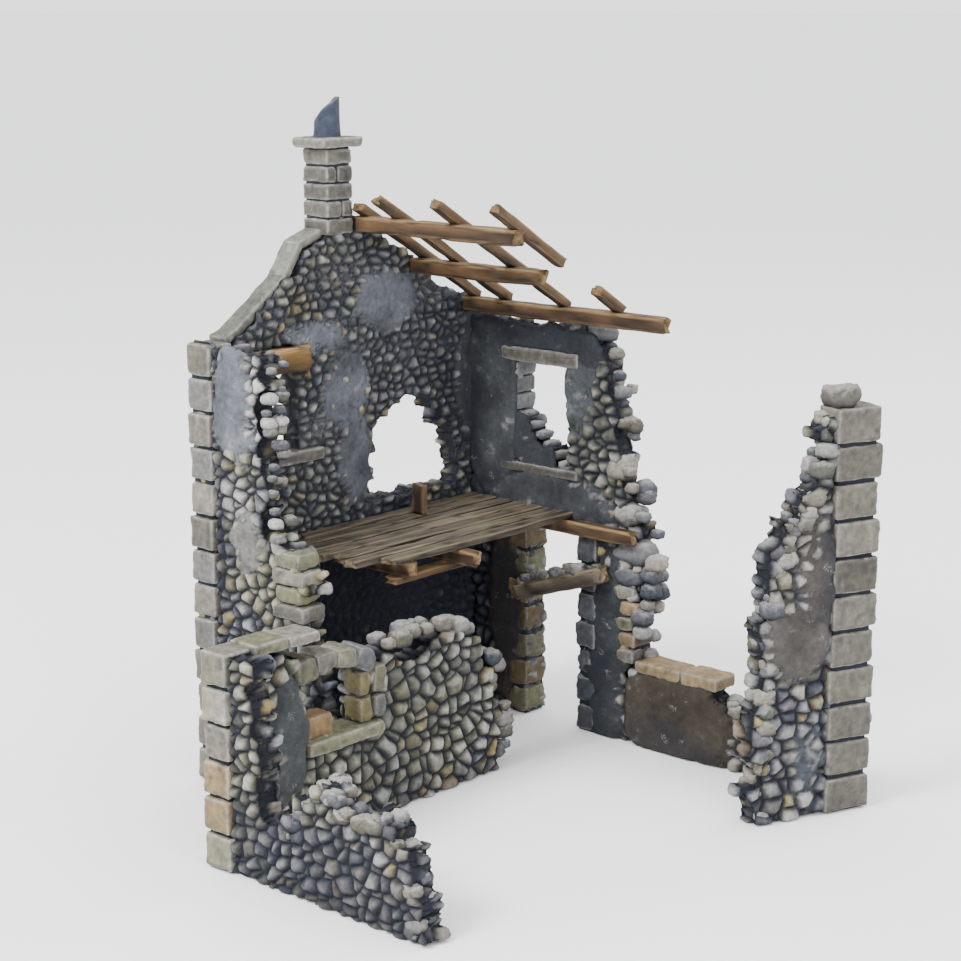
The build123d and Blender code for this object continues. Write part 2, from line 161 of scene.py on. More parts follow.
# ---- meshes ----
class Stock:
    """Collects the vertices and faces of one piece."""

    def __init__(self):
        self.v, self.f, self.paint, self.relief, self.grain, self.count = [], [], [], [], [], 0

    def add(self, v, f, paint, relief, grain=None):
        self.v.append(v)
        self.f.append(np.asarray(f) + self.count)
        self.paint.append(paint)
        self.relief.append(relief)
        self.grain.append(np.zeros((len(v), 3)) if grain is None else grain)
        self.count += len(v)

    def piece(self, name, material, slot, *nodes):
        v = np.concatenate(self.v)
        v[:, 2] = np.maximum(v[:, 2], 0)
        f = np.concatenate(self.f)
        mesh = bpy.data.meshes.new(name)
        mesh.vertices.add(len(v))
        mesh.vertices.foreach_set("co", (v * MM).astype(np.float32).ravel())
        mesh.loops.add(len(f) * 4)
        mesh.loops.foreach_set("vertex_index", f.astype(np.int32).ravel())
        mesh.polygons.add(len(f))
        mesh.polygons.foreach_set("loop_start", np.arange(0, len(f) * 4, 4, dtype=np.int32))
        mesh.update(calc_edges=True)
        mesh.validate()
        mesh.polygons.foreach_set("use_smooth", np.ones(len(mesh.polygons), bool))
        paint = mesh.attributes.new("paint", "FLOAT_COLOR", "POINT")
        rgba = np.ones((len(v), 4), np.float32)
        rgba[:, :3] = np.concatenate(self.paint)
        paint.data.foreach_set("color", rgba.ravel())
        relief = mesh.attributes.new("relief", "FLOAT", "POINT")
        relief.data.foreach_set("value", np.concatenate(self.relief).astype(np.float32))
        grain = mesh.attributes.new("grain", "FLOAT_VECTOR", "POINT")
        grain.data.foreach_set("vector", np.concatenate(self.grain).astype(np.float32).ravel())
        piece = bpy.data.objects.new(name, mesh)
        bpy.context.scene.collection.objects.link(piece)
        mesh.materials.append(material)
        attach(piece, "root")
        if nodes:
            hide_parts(*nodes)
        return piece


class Place:
    """Upright wall frame: s along the wall, h up, d out of its visible face."""

    def __init__(self, origin, along):
        self.o = np.array((origin[0], origin[1], 0.0))
        self.s = np.array((along[0], along[1], 0.0)) / math.hypot(*along)
        self.n = np.array((self.s[1], -self.s[0], 0.0))

    def at(self, s, h, d):
        s, h, d = np.broadcast_arrays(np.asarray(s, float), h, d)
        p = self.o + s[..., None] * self.s + d[..., None] * self.n
        p[..., 2] += h
        return p


def inside(poly, x, y):
    """Which points lie inside a polygon."""
    found = np.zeros(x.shape, bool)
    px, py = np.array(poly, float).T
    for x0, y0, x1, y1 in zip(px, py, np.roll(px, -1), np.roll(py, -1)):
        if y0 == y1:
            continue
        crosses = (y0 > y) != (y1 > y)
        found ^= crosses & (x < (x1 - x0) * (y - y0) / (y1 - y0) + x0)
    return found


class Rubble:
    """Stones packed through a wall: two layers of them, each with its own size, tilt and paint."""

    def __init__(self, seed, width=4.1, height=3.3, thick=WALL, jitter=0.38):
        self.seed = seed
        self.cell = np.array((width, height, thick / 2))
        self.jitter = jitter

    def find(self, s, h, d, warp=0.9):
        """The stone at each place: its number, how far its edge is, and the place from its middle."""
        p = np.stack([s, h, d], 1)
        for k, amp in ((0, warp), (1, warp * 0.8)):
            p[:, k] += amp * fbm(np.stack([s, h, d], 1), 7.0, self.seed + 3 + k, 2)
        q = p / self.cell
        base = np.floor(q).astype(np.int64)
        best, spot, names = [], [], []
        for dr in (-1, 0, 1):
            for dc in (-2, -1, 0, 1, 2):
                for layer in (-1, -2):
                    r = base[:, 1] + dr
                    c = base[:, 0] + dc
                    shift = lattice(r, r * 0, r * 0 + layer, self.seed + 5)
                    j = [lattice(c, r, r * 0 + layer, self.seed + n) - 0.5 for n in (11, 12, 13, 14)]
                    x = c + 0.5 + shift + j[0] * 2 * self.jitter
                    y = r + 0.5 + j[1] * 2 * self.jitter
                    z = layer + 0.5 + j[2] * 0.5
                    here = np.stack([x, y, z], 1)
                    gap = ((q - here) ** 2).sum(1) - (j[3] + 0.5) * 0.32
                    best.append(gap)
                    spot.append(here)
                    names.append((c * 7919 + r * 104729 + layer * 15485863) & 0xFFFFFFF)
        best, spot, names = np.stack(best, 1), np.stack(spot, 1), np.stack(names, 1)
        rows = np.arange(len(q))
        first = best.argmin(1)
        mid = spot[rows, first]
        name = names[rows, first]
        far = np.linalg.norm(spot - mid[:, None, :], axis=2)
        edge = (best - best[rows, first][:, None]) / np.maximum(2 * far, 1e-6)
        edge[far < 1e-6] = 9.0
        edge = edge.min(1) * min(self.cell[0], self.cell[1])
        return name, edge, (q - mid) * self.cell, mid * self.cell


def blob(s, h, patch, seed):
    """How far each place is inside a ragged patch: above 0 inside."""
    (cs, ch), (rs, rh) = patch
    r = np.sqrt(((s - cs) / rs) ** 2 + ((h - ch) / rh) ** 2)
    wob = fbm(np.stack([s, h, s * 0 + 3.3], 1), 6.5, seed, 3)
    return (1 - r) * min(rs, rh) + wob * 4.2


def stone_look(name, seed):
    """Three repeatable numbers for each stone."""
    return [lattice(name, name * 0 + k, name * 0, seed) for k in (1, 2, 3)]


def rubble_wall(stock, place, outline, seed, res=0.5, thick=WALL, cut=(), torn=(), hard=None,
                plaster=(), tints=(), rubble=None, dark=(), lift=1.0, yellow=0.03):
    """A wall of stones. cut holes have straight sides and torn ones follow the stones.

    hard is (s low, s high) where the wall ends straight against a neighbour."""
    rubble = rubble or Rubble(seed)
    pts = np.array(outline, float)
    lo, hi = pts.min(0) - 3.0, pts.max(0) + 3.0
    if hard:
        lo[0], hi[0] = hard[0], hard[1]
    lo[1] = 0.0
    ns, nh = [max(2, int(round((hi[k] - lo[k]) / res))) for k in (0, 1)]
    gs, gh = np.meshgrid(
        np.linspace(lo[0], hi[0], ns + 1), np.linspace(lo[1], hi[1], nh + 1), indexing="ij"
    )
    cs = (gs[1:, 1:] + gs[:-1, :-1]) / 2
    ch = (gh[1:, 1:] + gh[:-1, :-1]) / 2
    flat = cs.ravel(), ch.ravel()
    _, _, _, mid = rubble.find(flat[0], flat[1], np.full(flat[0].shape, -thick * 0.2))
    ms, mh = mid[:, 0], mid[:, 1]
    keep = inside(outline, np.clip(ms, lo[0] + 0.6, hi[0] - 0.6), np.maximum(mh, 0.3))
    for hole in torn:
        keep &= ~inside(hole, ms, mh)
    for hole in cut:
        keep &= ~inside(hole, *flat)
    keep = keep.reshape(cs.shape)
    # a cell that hangs on by a corner goes
    pad = np.pad(keep, 1)
    around = sum(
        pad[1 + a : pad.shape[0] - 1 + a, 1 + b : pad.shape[1] - 1 + b].astype(int)
        for a, b in ((1, 0), (-1, 0), (0, 1), (0, -1))
    )
    keep &= around >= 2
    number = np.full(gs.shape, -1)
    used = np.zeros(gs.shape, bool)
    for a in (0, 1):
        for b in (0, 1):
            used[a : a + ns, b : b + nh] |= keep
    number[used] = np.arange(used.sum())
    s, h = gs[used].copy(), gh[used].copy()
    n = len(s)
    ci, cj = np.nonzero(keep)
    quad = np.stack([number[ci, cj], number[ci + 1, cj], number[ci + 1, cj + 1], number[ci, cj + 1]], 1)
    pad = np.pad(keep, 1)
    rims = []
    for (da, db), a, b in (
        ((0, -1), (0, 0), (1, 0)),
        ((1, 0), (1, 0), (1, 1)),
        ((0, 1), (1, 1), (0, 1)),
        ((-1, 0), (0, 1), (0, 0)),
    ):
        open_side = ~pad[ci + 1 + da, cj + 1 + db]
        i, j = ci[open_side], cj[open_side]
        rims.append(
            np.stack(
                [number[i + a[0], j + a[1]], number[i + b[0], j + b[1]], i * 0 + da, i * 0 + db], 1
            )
        )
    rims = np.concatenate(rims)
    out = np.zeros((n, 2))
    for k in (0, 1):
        np.add.at(out, rims[:, k], rims[:, 2:])
    rim = np.unique(rims[:, :2])
    # the stepped rim is drawn smooth, except where it stands on the table or meets a neighbour
    free = np.zeros(n, bool)
    free[rim] = True
    free &= h > 0.01
    if hard:
        free &= (s > hard[0] + 0.01) & (s < hard[1] - 0.01)
    for _ in range(4):
        total, count = np.zeros((n, 2)), np.zeros(n)
        for a, b in ((0, 1), (1, 0)):
            np.add.at(total, rims[:, a], np.stack([s, h], 1)[rims[:, b]])
            np.add.at(count, rims[:, a], 1)
        ok = free & (count > 0)
        s[ok] = 0.5 * s[ok] + 0.5 * total[ok, 0] / count[ok]
        h[ok] = 0.5 * h[ok] + 0.5 * total[ok, 1] / count[ok]
    out /= np.maximum(np.linalg.norm(out, axis=1), 1e-9)[:, None]
    rows = max(2, int(round(thick / 0.9)))
    slot_of = np.full(n, -1)
    slot_of[rim] = np.arange(len(rim))

    def level(nodes, k):
        if k == 0:
            return nodes
        if k == rows:
            return nodes + n
        return 2 * n + (k - 1) * len(rim) + slot_of[nodes]

    faces = [quad, quad[:, ::-1] + n]
    for k in range(rows):
        a, b = rims[:, 0], rims[:, 1]
        faces.append(np.stack([level(a, k), level(a, k + 1), level(b, k + 1), level(b, k)], 1))
    through = np.repeat(np.arange(1, rows), len(rim))
    S = np.concatenate([s, s, np.tile(s[rim], rows - 1)])
    H = np.concatenate([h, h, np.tile(h[rim], rows - 1)])
    D = np.concatenate([np.zeros(n), np.full(n, -thick), -thick * through / rows])
    norm = np.zeros((len(S), 3))
    norm[:n, 2], norm[n : 2 * n, 2] = 1, -1
    norm[rim, :2] += out[rim]
    norm[n + rim, :2] += out[rim]
    norm[2 * n :, :2] = np.tile(out[rim], (rows - 1, 1))
    norm /= np.maximum(np.linalg.norm(norm, axis=1), 1e-9)[:, None]
    D[rim] -= 0.5
    D[n + rim] += 0.5
    name, edge, off, _ = rubble.find(S, H, np.clip(D, -thick + 0.05, -0.05))
    r1, r2, r3 = stone_look(name, seed)
    f = np.clip(edge / 1.5, 0, 1)
    dome = np.sin(f * math.pi / 2) ** 1.1
    P = np.stack([S, H, D], 1)
    fine = fbm(P, 1.7, seed + 40, 3)
    tilt = off[:, 0] * (r2 - 0.5) * 0.22 + off[:, 1] * (r3 - 0.6) * 0.22
    height = (-1.15 + dome * (1.35 + 0.65 * r1) + tilt * dome + fine * 0.15) * lift
    face = np.ones(len(S), bool)
    face[2 * n :] = False
    shown = D > -thick / 2
    paint = STONES[(r3 * len(STONES)).astype(int) % len(STONES)] * (0.75 + 0.6 * r1)[:, None]
    paint = mix(paint, YELLOW, (r2 < yellow) * 0.85)
    paint = mix(paint, BROWN, (r2 > 0.965) * 0.8)
    for (patch, colour, strength) in tints:
        t = step(-1.5, 2.5, blob(S, H, patch, seed + 60)) * strength * shown
        paint = mix(paint, colour, t)
    high = np.clip((height / lift + 0.9) / 1.8, 0, 1)
    cavity = step(0.12, 0.85, edge + 0.22 * fine)
    # painted light and shade: each stone is lighter towards its top and darker towards its bottom
    upper = np.clip(off[:, 1] / 1.9, -1, 1) * face
    paint = paint * (1 + 0.38 * upper + 0.30 * fine)[:, None]
    filled = np.zeros(len(S))
    coat_paint = np.zeros((len(S), 3))
    for k, (patch, rise, colour) in enumerate(plaster):
        m = blob(S, H, patch, seed + 80 + 7 * k)
        wave = fbm(P, (8, 8, 8), seed + 90 + k, 3)
        level = -1.4 + (1.4 + rise) * step(-4.0, 2.0, m) + wave * 0.24 + fine * 0.06
        over = level - height
        on = step(-0.10, 0.16, over) * shown * face
        coat = np.asarray(colour) * (1.0 + 0.55 * wave + 0.25 * fine)[:, None]
        coat = mix(coat, PALE * 0.6, step(0.45, 0.9, wave + 0.5 * fine) * 0.5)
        coat = mix(coat, WASH * 1.5, step(0.45, 0.0, over) * 0.75)
        height = np.where(on > 0, np.maximum(height, level), height)
        coat_paint = mix(coat_paint, coat, on)
        filled = np.maximum(filled, on)
    paint = mix(np.broadcast_to(WASH, paint.shape), paint, cavity)
    paint = mix(paint, coat_paint, filled)
    crest = step(0.55, 1.0, high + fine * 0.22 + 0.10 * upper)
    brush = crest * (0.42 + 0.30 * noise(P, 11.0, seed + 71)) * (1 - filled)
    paint = mix(paint, PALE, np.clip(brush, 0, 0.8))
    # dark lists patches of painted shade: under the floor, in inner corners, beside corner blocks and along
    # the foot of a wall
    for (patch, strength) in dark:
        t = step(-3.0, 5.0, blob(S, H, patch, seed + 130)) * strength * step(-thick * 0.8, -thick * 0.4, D)
        paint = mix(paint, PAINTED_SHADE, t)
    P = P + norm * height[:, None]
    stock.add(place.at(*P.T), np.concatenate(faces), np.clip(paint, 0, 1), high)


def cube_grid(counts):
    """The surface of a box cut into squares: places from 0 to 1 and faces."""
    nx, ny, nz = counts
    index, pts, faces = {}, [], []

    def at(i, j, k):
        if (i, j, k) not in index:
            index[(i, j, k)] = len(pts)
            pts.append((i / nx, j / ny, k / nz))
        return index[(i, j, k)]

    # each pair of sides: the axis it faces along, the two axes that it spans, and which is turned over
    for axis, a, b, turned in ((2, 0, 1, 0), (1, 0, 2, 1), (0, 1, 2, 0)):
        for side in (0, 1):
            for i in range(counts[a]):
                for j in range(counts[b]):
                    quad = []
                    for di, dj in ((0, 0), (1, 0), (1, 1), (0, 1)):
                        spot = [0, 0, 0]
                        spot[axis], spot[a], spot[b] = side * counts[axis], i + di, j + dj
                        quad.append(at(*spot))
                    faces.append(quad if side != turned else quad[::-1])
    return np.array(pts), np.array(faces)


def block(stock, place, lo, hi, seed, colour=TAUPE, soft=0.8, rough=0.3, chip=0.9, res=0.65,
          light=0.75, moss=0.0, turn=0.0):
    """A worn dressed block between two corners of a wall frame (s, h, d)."""
    lo, hi = np.array(lo, float), np.array(hi, float)
    size = hi - lo
    counts = [max(3, int(round(x / res))) for x in size]
    g, faces = cube_grid(counts)
    p = (g - 0.5) * size
    half = size / 2
    world = p + (lo + hi) / 2 + seed * 3.7
    wear = fbm(world, 3.2, seed + 1, 3)
    r = np.clip(soft * (1 + chip * wear), 0.15, half.min() * 0.9)[:, None]
    core = np.clip(p, -half + r, half - r)
    away = p - core
    length = np.maximum(np.linalg.norm(away, axis=1), 1e-6)[:, None]
    out = away / length
    fine = fbm(world, 1.3, seed + 9, 2)
    broad = fbm(world, 5.0, seed + 5, 2)
    p = core + out * r + out * (rough * (0.7 * broad + 0.45 * fine))[:, None]
    if turn:
        c, sn = math.cos(turn), math.sin(turn)
        p = np.stack([p[:, 0] * c - p[:, 1] * sn, p[:, 0] * sn + p[:, 1] * c, p[:, 2]], 1)
    near = np.sort(half - np.abs((g - 0.5) * size), axis=1)[:, 1]
    ridge = step(0.95, 0.1, near + 0.45 * fine + 0.35 * broad)
    tone = 0.72 + 0.5 * chance(seed, 3, 1, 77)
    streaks = fbm(world * (1.0, 0.35, 1.0), 1.6, seed + 31, 3)
    paint = np.broadcast_to(np.asarray(colour) * tone, p.shape) * (1 + 0.28 * broad + 0.3 * fine)[:, None]
    paint = mix(paint, WASH, step(0.2, 0.85, -wear - 0.25 * fine) * 0.55)
    paint = mix(paint, PALE, step(0.25, 0.8, streaks) * 0.30 * light)
    paint = mix(paint, WASH * 2, step(0.2, 0.8, -streaks) * 0.45)
    if moss:
        paint = mix(paint, OLIVE, step(0.0, 0.6, fbm(world, 6.0, seed + 21, 2)) * moss)
    paint = mix(paint, PALE, np.clip(ridge * light * (0.50 + 0.55 * fine + 0.3 * wear), 0, 1))
    # painted shade: each block is darker along its bottom
    low = step(0.16, 0.0, g[:, 1]) * (1 - ridge)
    paint = mix(paint, WASH, low * 0.6)
    q = p + (lo + hi) / 2
    stock.add(place.at(*q.T), faces, np.clip(paint, 0, 1), 0.4 + 0.6 * ridge)


def filler(stock, place, lo, hi):
    """The dark mortar seen between blocks."""
    lo, hi = np.array(lo, float), np.array(hi, float)
    g, faces = cube_grid((3, max(3, int((hi[1] - lo[1]) / 4)), 3))
    q = lo + g * (hi - lo)
    stock.add(place.at(*q.T), faces, np.broadcast_to(WASH * 1.5, q.shape), q[:, 0] * 0)


def cobble(stock, place, middle, radii, seed, colour=None):
    """A loose rounded stone."""
    g, faces = cube_grid((7, 7, 7))
    p = (g - 0.5) * 2
    p = p / np.linalg.norm(p, axis=1)[:, None] * 0.75 + p * 0.25
    far = p * 2.1 + seed * 5.1
    lump = fbm(far, 1.5, seed, 2)
    fine = fbm(far, 0.5, seed + 3, 2)
    p = p * (1 + 0.24 * lump + 0.07 * fine)[:, None]
    up = p[:, 1]
    k = int(chance(seed, 1, 2, 5) * len(STONES)) % len(STONES)
    base = STONES[k] if colour is None else np.asarray(colour)
    paint = np.broadcast_to(base * 1.0, p.shape) * (1 + 0.25 * fine)[:, None]
    # painted shade on each stone's underside and a painted highlight on its top
    paint = mix(paint, WASH, step(-0.1, -0.9, up) * 0.9)
    paint = mix(paint, PALE, step(0.2, 1.0, up + 0.5 * fine) * 0.38)
    q = np.array(middle) + p * np.array(radii)
    stock.add(place.at(*q.T), faces, np.clip(paint, 0, 1), step(-0.6, 1.0, up))


def capstones(stock, place, line, seed, thick=WALL, size=2.2, every=3.9, inset=1.0, colours=None):
    """Loose-looking stones bedded along a broken edge, in both layers of the wall."""
    rng = np.random.default_rng(seed)
    line = np.array(line, float)
    for (a, b) in zip(line[:-1], line[1:]):
        run = np.linalg.norm(b - a)
        t = (b - a) / run
        inward = np.array((t[1], -t[0]))
        for k in range(max(1, int(round(run / every)))):
            for d in (-thick * 0.24, -thick * 0.76):
                if rng.random() < 0.3:
                    continue
                here = a + t * (k + 0.5 + rng.uniform(-0.3, 0.3)) * run / max(1, round(run / every))
                here = here + inward * (inset + 0.4 + rng.uniform(-0.7, 0.7))
                r = size * rng.uniform(0.65, 1.3)
                colour = None
                if colours is not None and rng.random() < 0.35:
                    colour = colours[rng.integers(len(colours))]
                cobble(stock, place, (here[0], here[1], d + rng.uniform(-0.5, 0.5)),
                       (r * 1.1, r * 0.85, r * 0.95), int(rng.integers(1e6)), colour)


# ---- timber ----
TIMBER = np.array((0.155, 0.084, 0.036))
GREY_TIMBER = np.array((0.118, 0.100, 0.076))
OCHRE = np.array((0.34, 0.19, 0.055))
TAN = np.array((0.42, 0.29, 0.145))
# dark wash for the splits, also used as painted shade on the undersides of timbers
TIMBER_CRACK_AND_SHADE = np.array((0.018, 0.012, 0.009))


def timber(stock, p0, p1, width, thick, seed, colour=TIMBER, up=(0, 0, 1), snap=(0, 0), bend=0.35,
           groove=0.34, green=0.25, brush=0.55):
    """A split and grained bar from p0 to p1, with ends snapped by so many millimetres."""
    p0, p1 = np.array(p0, float), np.array(p1, float)
    length = np.linalg.norm(p1 - p0)
    x = (p1 - p0) / length
    y = np.cross(np.array(up, float), x)
    y /= np.linalg.norm(y)
    z = np.cross(x, y)
    around = 28
    rings = max(6, int(length / 0.9))
    a = np.linspace(0, 2 * math.pi, around, endpoint=False) + math.pi / around
    ca, sa = np.cos(a), np.sin(a)
    power = 0.32
    ey = np.sign(ca) * np.abs(ca) ** power * width / 2
    ez = np.sign(sa) * np.abs(sa) ** power * thick / 2
    t = np.linspace(0, 1, rings + 1)
    T, A = np.meshgrid(t, np.arange(around), indexing="ij")
    T, A = T.ravel(), A.ravel()
    cy, cz = ey[A], ez[A]
    along = T * length
    ring = np.stack([cy, cz, along / 14.0 + seed * 9.1], 1)
    split = 1 - np.abs(noise(ring, (0.85, 0.85, 1.0), seed + 2)) * 2.2
    split = np.clip(split, 0, 1) ** 2
    fine = fbm(np.stack([cy * 2, cz * 2, along / 5 + seed], 1), 1.0, seed + 4, 2)
    shrink = split * groove + 0.10 * fine
    lump = 0.12 * fbm(np.stack([cy, cz, along], 1), 6.0, seed + 6, 2)
    d = np.stack([cy, cz], 1)
    d /= np.maximum(np.linalg.norm(d, axis=1), 1e-6)[:, None]
    cy2, cz2 = cy - d[:, 0] * (shrink - lump), cz - d[:, 1] * (shrink - lump)
    line = np.stack([along, along * 0, along * 0 + seed * 2.3], 1)
    cy2 = cy2 + bend * noise(line, 22.0, seed + 7)
    cz2 = cz2 + bend * 0.6 * noise(line, 26.0, seed + 8)
    jag = np.abs(noise(np.stack([cy, cz, cy * 0 + seed], 1), 1.5, seed + 12))
    along = along + step(0.12, 0.0, T) * jag * snap[0] - step(0.88, 1.0, T) * jag * snap[1]
    pos = p0 + along[:, None] * x + cy2[:, None] * y + cz2[:, None] * z
    idx = np.arange((rings + 1) * around).reshape(rings + 1, around)
    nxt = np.roll(idx, -1, axis=1)
    faces = [np.stack([idx[:-1].ravel(), nxt[:-1].ravel(), nxt[1:].ravel(), idx[1:].ravel()], 1)]
    grain = np.stack([np.arctan2(cz, cy) * 2.2, cy + cz, along], 1)
    verts, count = [pos], len(pos)
    steps = 3
    tone = 0.8 + 0.4 * chance(seed, 5, 4, 31)
    paint = np.broadcast_to(np.asarray(colour) * tone, pos.shape)
    streak = fbm(np.stack([cy * 1.3, cz * 1.3, along / 16 + seed * 3], 1), 0.9, seed + 30, 3)
    paint = paint * (1 + 0.5 * streak)[:, None]
    paint = mix(paint, OLIVE * 0.9, step(0.05, 0.7, fbm(pos, 13.0, seed + 33, 2)) * green)
    # dark wash in the splits, and painted shade along the underside of each bar
    paint = mix(paint, TIMBER_CRACK_AND_SHADE, np.clip(split * 0.9 + step(0.2, -0.9, cz / thick * 2) * 0.5, 0, 0.92))
    corner = np.abs(cy) / (width / 2) + np.abs(cz) / (thick / 2)
    light = step(1.45, 1.9, corner + 0.25 * fine) * brush + step(0.25, 0.9, streak) * 0.3
    # painted highlight: the edge drybrush and streaks are kept mostly to the upper side of each bar
    light = light * (1 - split) * (0.35 + 0.65 * step(-0.5, 0.6, cz / thick * 2))
    paint = mix(paint, TAN, np.clip(light, 0, 0.9))
    paints, rel, grains = [paint], [step(1.2, 1.9, corner)], [grain]
    for first, sign in ((idx[0], -1), (idx[-1], 1)):
        ring_now, middle = first, pos[first].mean(0)
        for k in range(1, steps + 1):
            share = 1 - k / (steps + 0.35)
            new = middle + (pos[first] - middle) * share
            spot = np.stack([cy[first] * share, cz[first] * share, cy[first] * 0 + seed], 1)
            depth = noise(spot, 1.0, seed + 50)
            new = new + x * (depth * (0.25 + 0.3 * snap[0 if sign < 0 else 1]))[:, None]
            fresh = np.arange(count, count + around)
            count += around
            a1, b1 = ring_now, np.roll(ring_now, -1)
            a2, b2 = fresh, np.roll(fresh, -1)
            q = np.stack([a1, b1, b2, a2], 1)
            faces.append(q if sign > 0 else q[:, ::-1])
            verts.append(new)
            cut_paint = np.broadcast_to(np.asarray(colour) * 0.9, new.shape) * (1 + 0.5 * depth)[:, None]
            paints.append(mix(cut_paint, TAN, np.clip(0.35 + 0.5 * depth, 0, 0.7)))
            rel.append(np.full(around, 0.5))
            grains.append(np.stack([depth * 3, depth, depth * 2], 1))
            ring_now = fresh
        half_ring = around // 2
        for k in range(half_ring - 1):
            q = [ring_now[k], ring_now[k + 1], ring_now[around - 2 - k], ring_now[around - 1 - k]]
            faces.append(np.array([q if sign > 0 else q[::-1]]))
    stock.add(np.concatenate(verts), np.concatenate(faces), np.clip(np.concatenate(paints), 0, 1),
              np.concatenate(rel), np.concatenate(grains))


# ---- materials ----
def paint_material(name, speckle, speckle_scale, bump, bump_scale, rough, dust, grain=False):
    """Paint read from the mesh, mottled, with a chalky film on raised places and fine bumps."""
    material = bpy.data.materials.new(name)
    material.use_nodes = True
    tree = material.node_tree
    tree.nodes.clear()
    link = tree.links.new

    def new(kind, **inputs):
        n = tree.nodes.new("ShaderNode" + kind)
        for key, value in inputs.items():
            n.inputs[key.replace("_", " ")].default_value = value
        return n

    def attribute(kind):
        n = new("Attribute")
        n.attribute_name = kind
        return n.outputs

    def moved(source, low, high, to_low, to_high):
        """A value moved from one range to another."""
        n = new("MapRange", From_Min=low, From_Max=high, To_Min=to_low, To_Max=to_high)
        link(source, n.inputs[0])
        return n.outputs[0]

    bsdf = new("BsdfPrincipled", Specular_IOR_Level=0.28)
    link(bsdf.outputs[0], new("OutputMaterial").inputs[0])
    coords = new("TexCoord").outputs["Object"]
    if grain:
        stretch = new("Mapping", Scale=(1.6, 1.6, 0.16))
        link(attribute("grain")["Vector"], stretch.inputs[0])
        coords = stretch.outputs[0]
    mottle = new("TexNoise", Scale=speckle_scale, Detail=6.0, Roughness=0.62)
    grit = new("TexNoise", Scale=bump_scale, Detail=5.0, Roughness=0.7)
    for texture in (mottle, grit):
        link(coords, texture.inputs["Vector"])
    shade = moved(mottle.outputs[0], 0.3, 0.7, DEPTH * (1 - speckle), DEPTH * (1 + speckle))
    scaled = new("VectorMath")
    scaled.operation = "SCALE"
    link(attribute("paint")["Color"], scaled.inputs[0])
    link(shade, scaled.inputs["Scale"])
    film = new("Math")
    film.operation = "MULTIPLY"
    link(attribute("relief")["Fac"], film.inputs[0])
    link(grit.outputs[0], film.inputs[1])
    chalk = new("Mix")
    chalk.data_type = "RGBA"
    link(moved(film.outputs[0], 0.46, 0.66, 0.0, dust), chalk.inputs[0])
    link(scaled.outputs[0], chalk.inputs[6])
    chalk.inputs[7].default_value = (*((TAN if grain else PALE) * DEPTH), 1)
    link(chalk.outputs[2], bsdf.inputs["Base Color"])
    link(moved(mottle.outputs[0], 0.0, 1.0, rough - 0.12, rough + 0.12), bsdf.inputs["Roughness"])
    bumps = new("Bump", Strength=bump, Distance=0.0004)
    link(grit.outputs[0], bumps.inputs["Height"])
    link(bumps.outputs[0], bsdf.inputs["Normal"])
    return material


STONE = paint_material("painted_rubble", 0.30, 750.0, 0.55, 2100.0, 0.80, 0.55)
DRESSED = paint_material("painted_blocks", 0.32, 560.0, 0.5, 1700.0, 0.76, 0.30)
WOOD = paint_material("painted_timber", 0.38, 1.3, 0.65, 4.2, 0.74, 0.40, grain=True)


# ---- pieces made of one block or one timber ----
def slab(name, node_name, slot, place, lo, hi, seed, colour, **look):
    stock = Stock()
    block(stock, place, lo, hi, seed, colour, **look)
    stock.piece(name, DRESSED, slot, node_name)


def bar(name, node_name, slot, p0, p1, width, thick, seed, colour, **look):
    stock = Stock()
    timber(stock, p0, p1, width, thick, seed, colour, **look)
    stock.piece(name, WOOD, slot, node_name)


# ---- wall frames ----
GABLE = Place((U0, V0), (0, 1))
FRONT = Place((U0, V0), (1, 0))
BACK = Place((U0, V0 + BACK_V), (1, 0))
PORCH_SIDE = Place((U0 + PORCH_U + WALL, V0), (0, 1))
PORCH_FRONT = Place((U0, V0 + PORCH_V), (1, 0))
HOUSE_WIDTH = 140.0
BEHIND = 2.5  # how far the right wall's corner stands behind the back wall's inner face
TURN = math.radians(20.8)
RIGHT = Place((U0 + HOUSE_WIDTH, V0 + BACK_V + BEHIND), (math.sin(TURN), math.cos(TURN)))

# ---- gable ----
SLOT = [(22.5, 89.5), (31.5, 89.5), (31.5, 119), (22.5, 119)]
HOLE = [
    (60, 70), (96, 70), (97, 77), (95, 85.5), (89.5, 89), (85, 96), (79, 98.5), (72, 97), (65, 93),
    (60.5, 91),
]
gable_line = [
    (8, 123), (11.5, 124.5), (25.5, 134.5), (29.5, 137.5), (35, 146), (42.5, 148.5), (42.5, 152), (52.5, 154),
    (54.5, 153), (110.5, 119.4),
]
stock = Stock()
rubble_wall(
    stock, GABLE, [(0, 0), (110.5, 0)] + gable_line[::-1] + [(0, 123)], 101, res=0.52, hard=(0.0, 110.5),
    cut=[SLOT], torn=[HOLE],
    rubble=Rubble(101, 3.5, 2.6), lift=0.8,
    plaster=[
        (((62, 100), (80, 62)), -0.75, MORTAR * 1.2),
        (((67, 128), (12, 8)), 0.75, LILAC * 0.85),
        (((50, 104), (8, 11)), 0.45, LILAC * 0.85),
        (((53, 84), (6, 13)), 0.75, LILAC * 0.8),
        (((106, 100), (8, 30)), 0.6, MORTAR * 0.7),
        (((40, 120), (9, 4)), 0.4, LILAC * 0.9),
    ],
    tints=[(((33, 131), (7, 4.5)), YELLOW * 0.8, 0.7), (((45, 140), (18, 10)), STONES[6], 0.45),
           (((85, 120), (22, 14)), LILAC * 0.8, 0.5), (((40, 80), (14, 22)), STONES[2], 0.4),
           (((22, 80), (10, 20)), OLIVE, 0.35), (((84, 112), (30, 22)), LILAC * 0.75, 0.4),
           (((50, 105), (60, 50)), GREEN_GREY, 0.3)],
    dark=[(((64, 33), (58, 36)), 0.93), (((100, 95), (14, 40)), 0.35)],
)
stock.piece("gable_stonework", STONE, "masonry", "gable_wall")

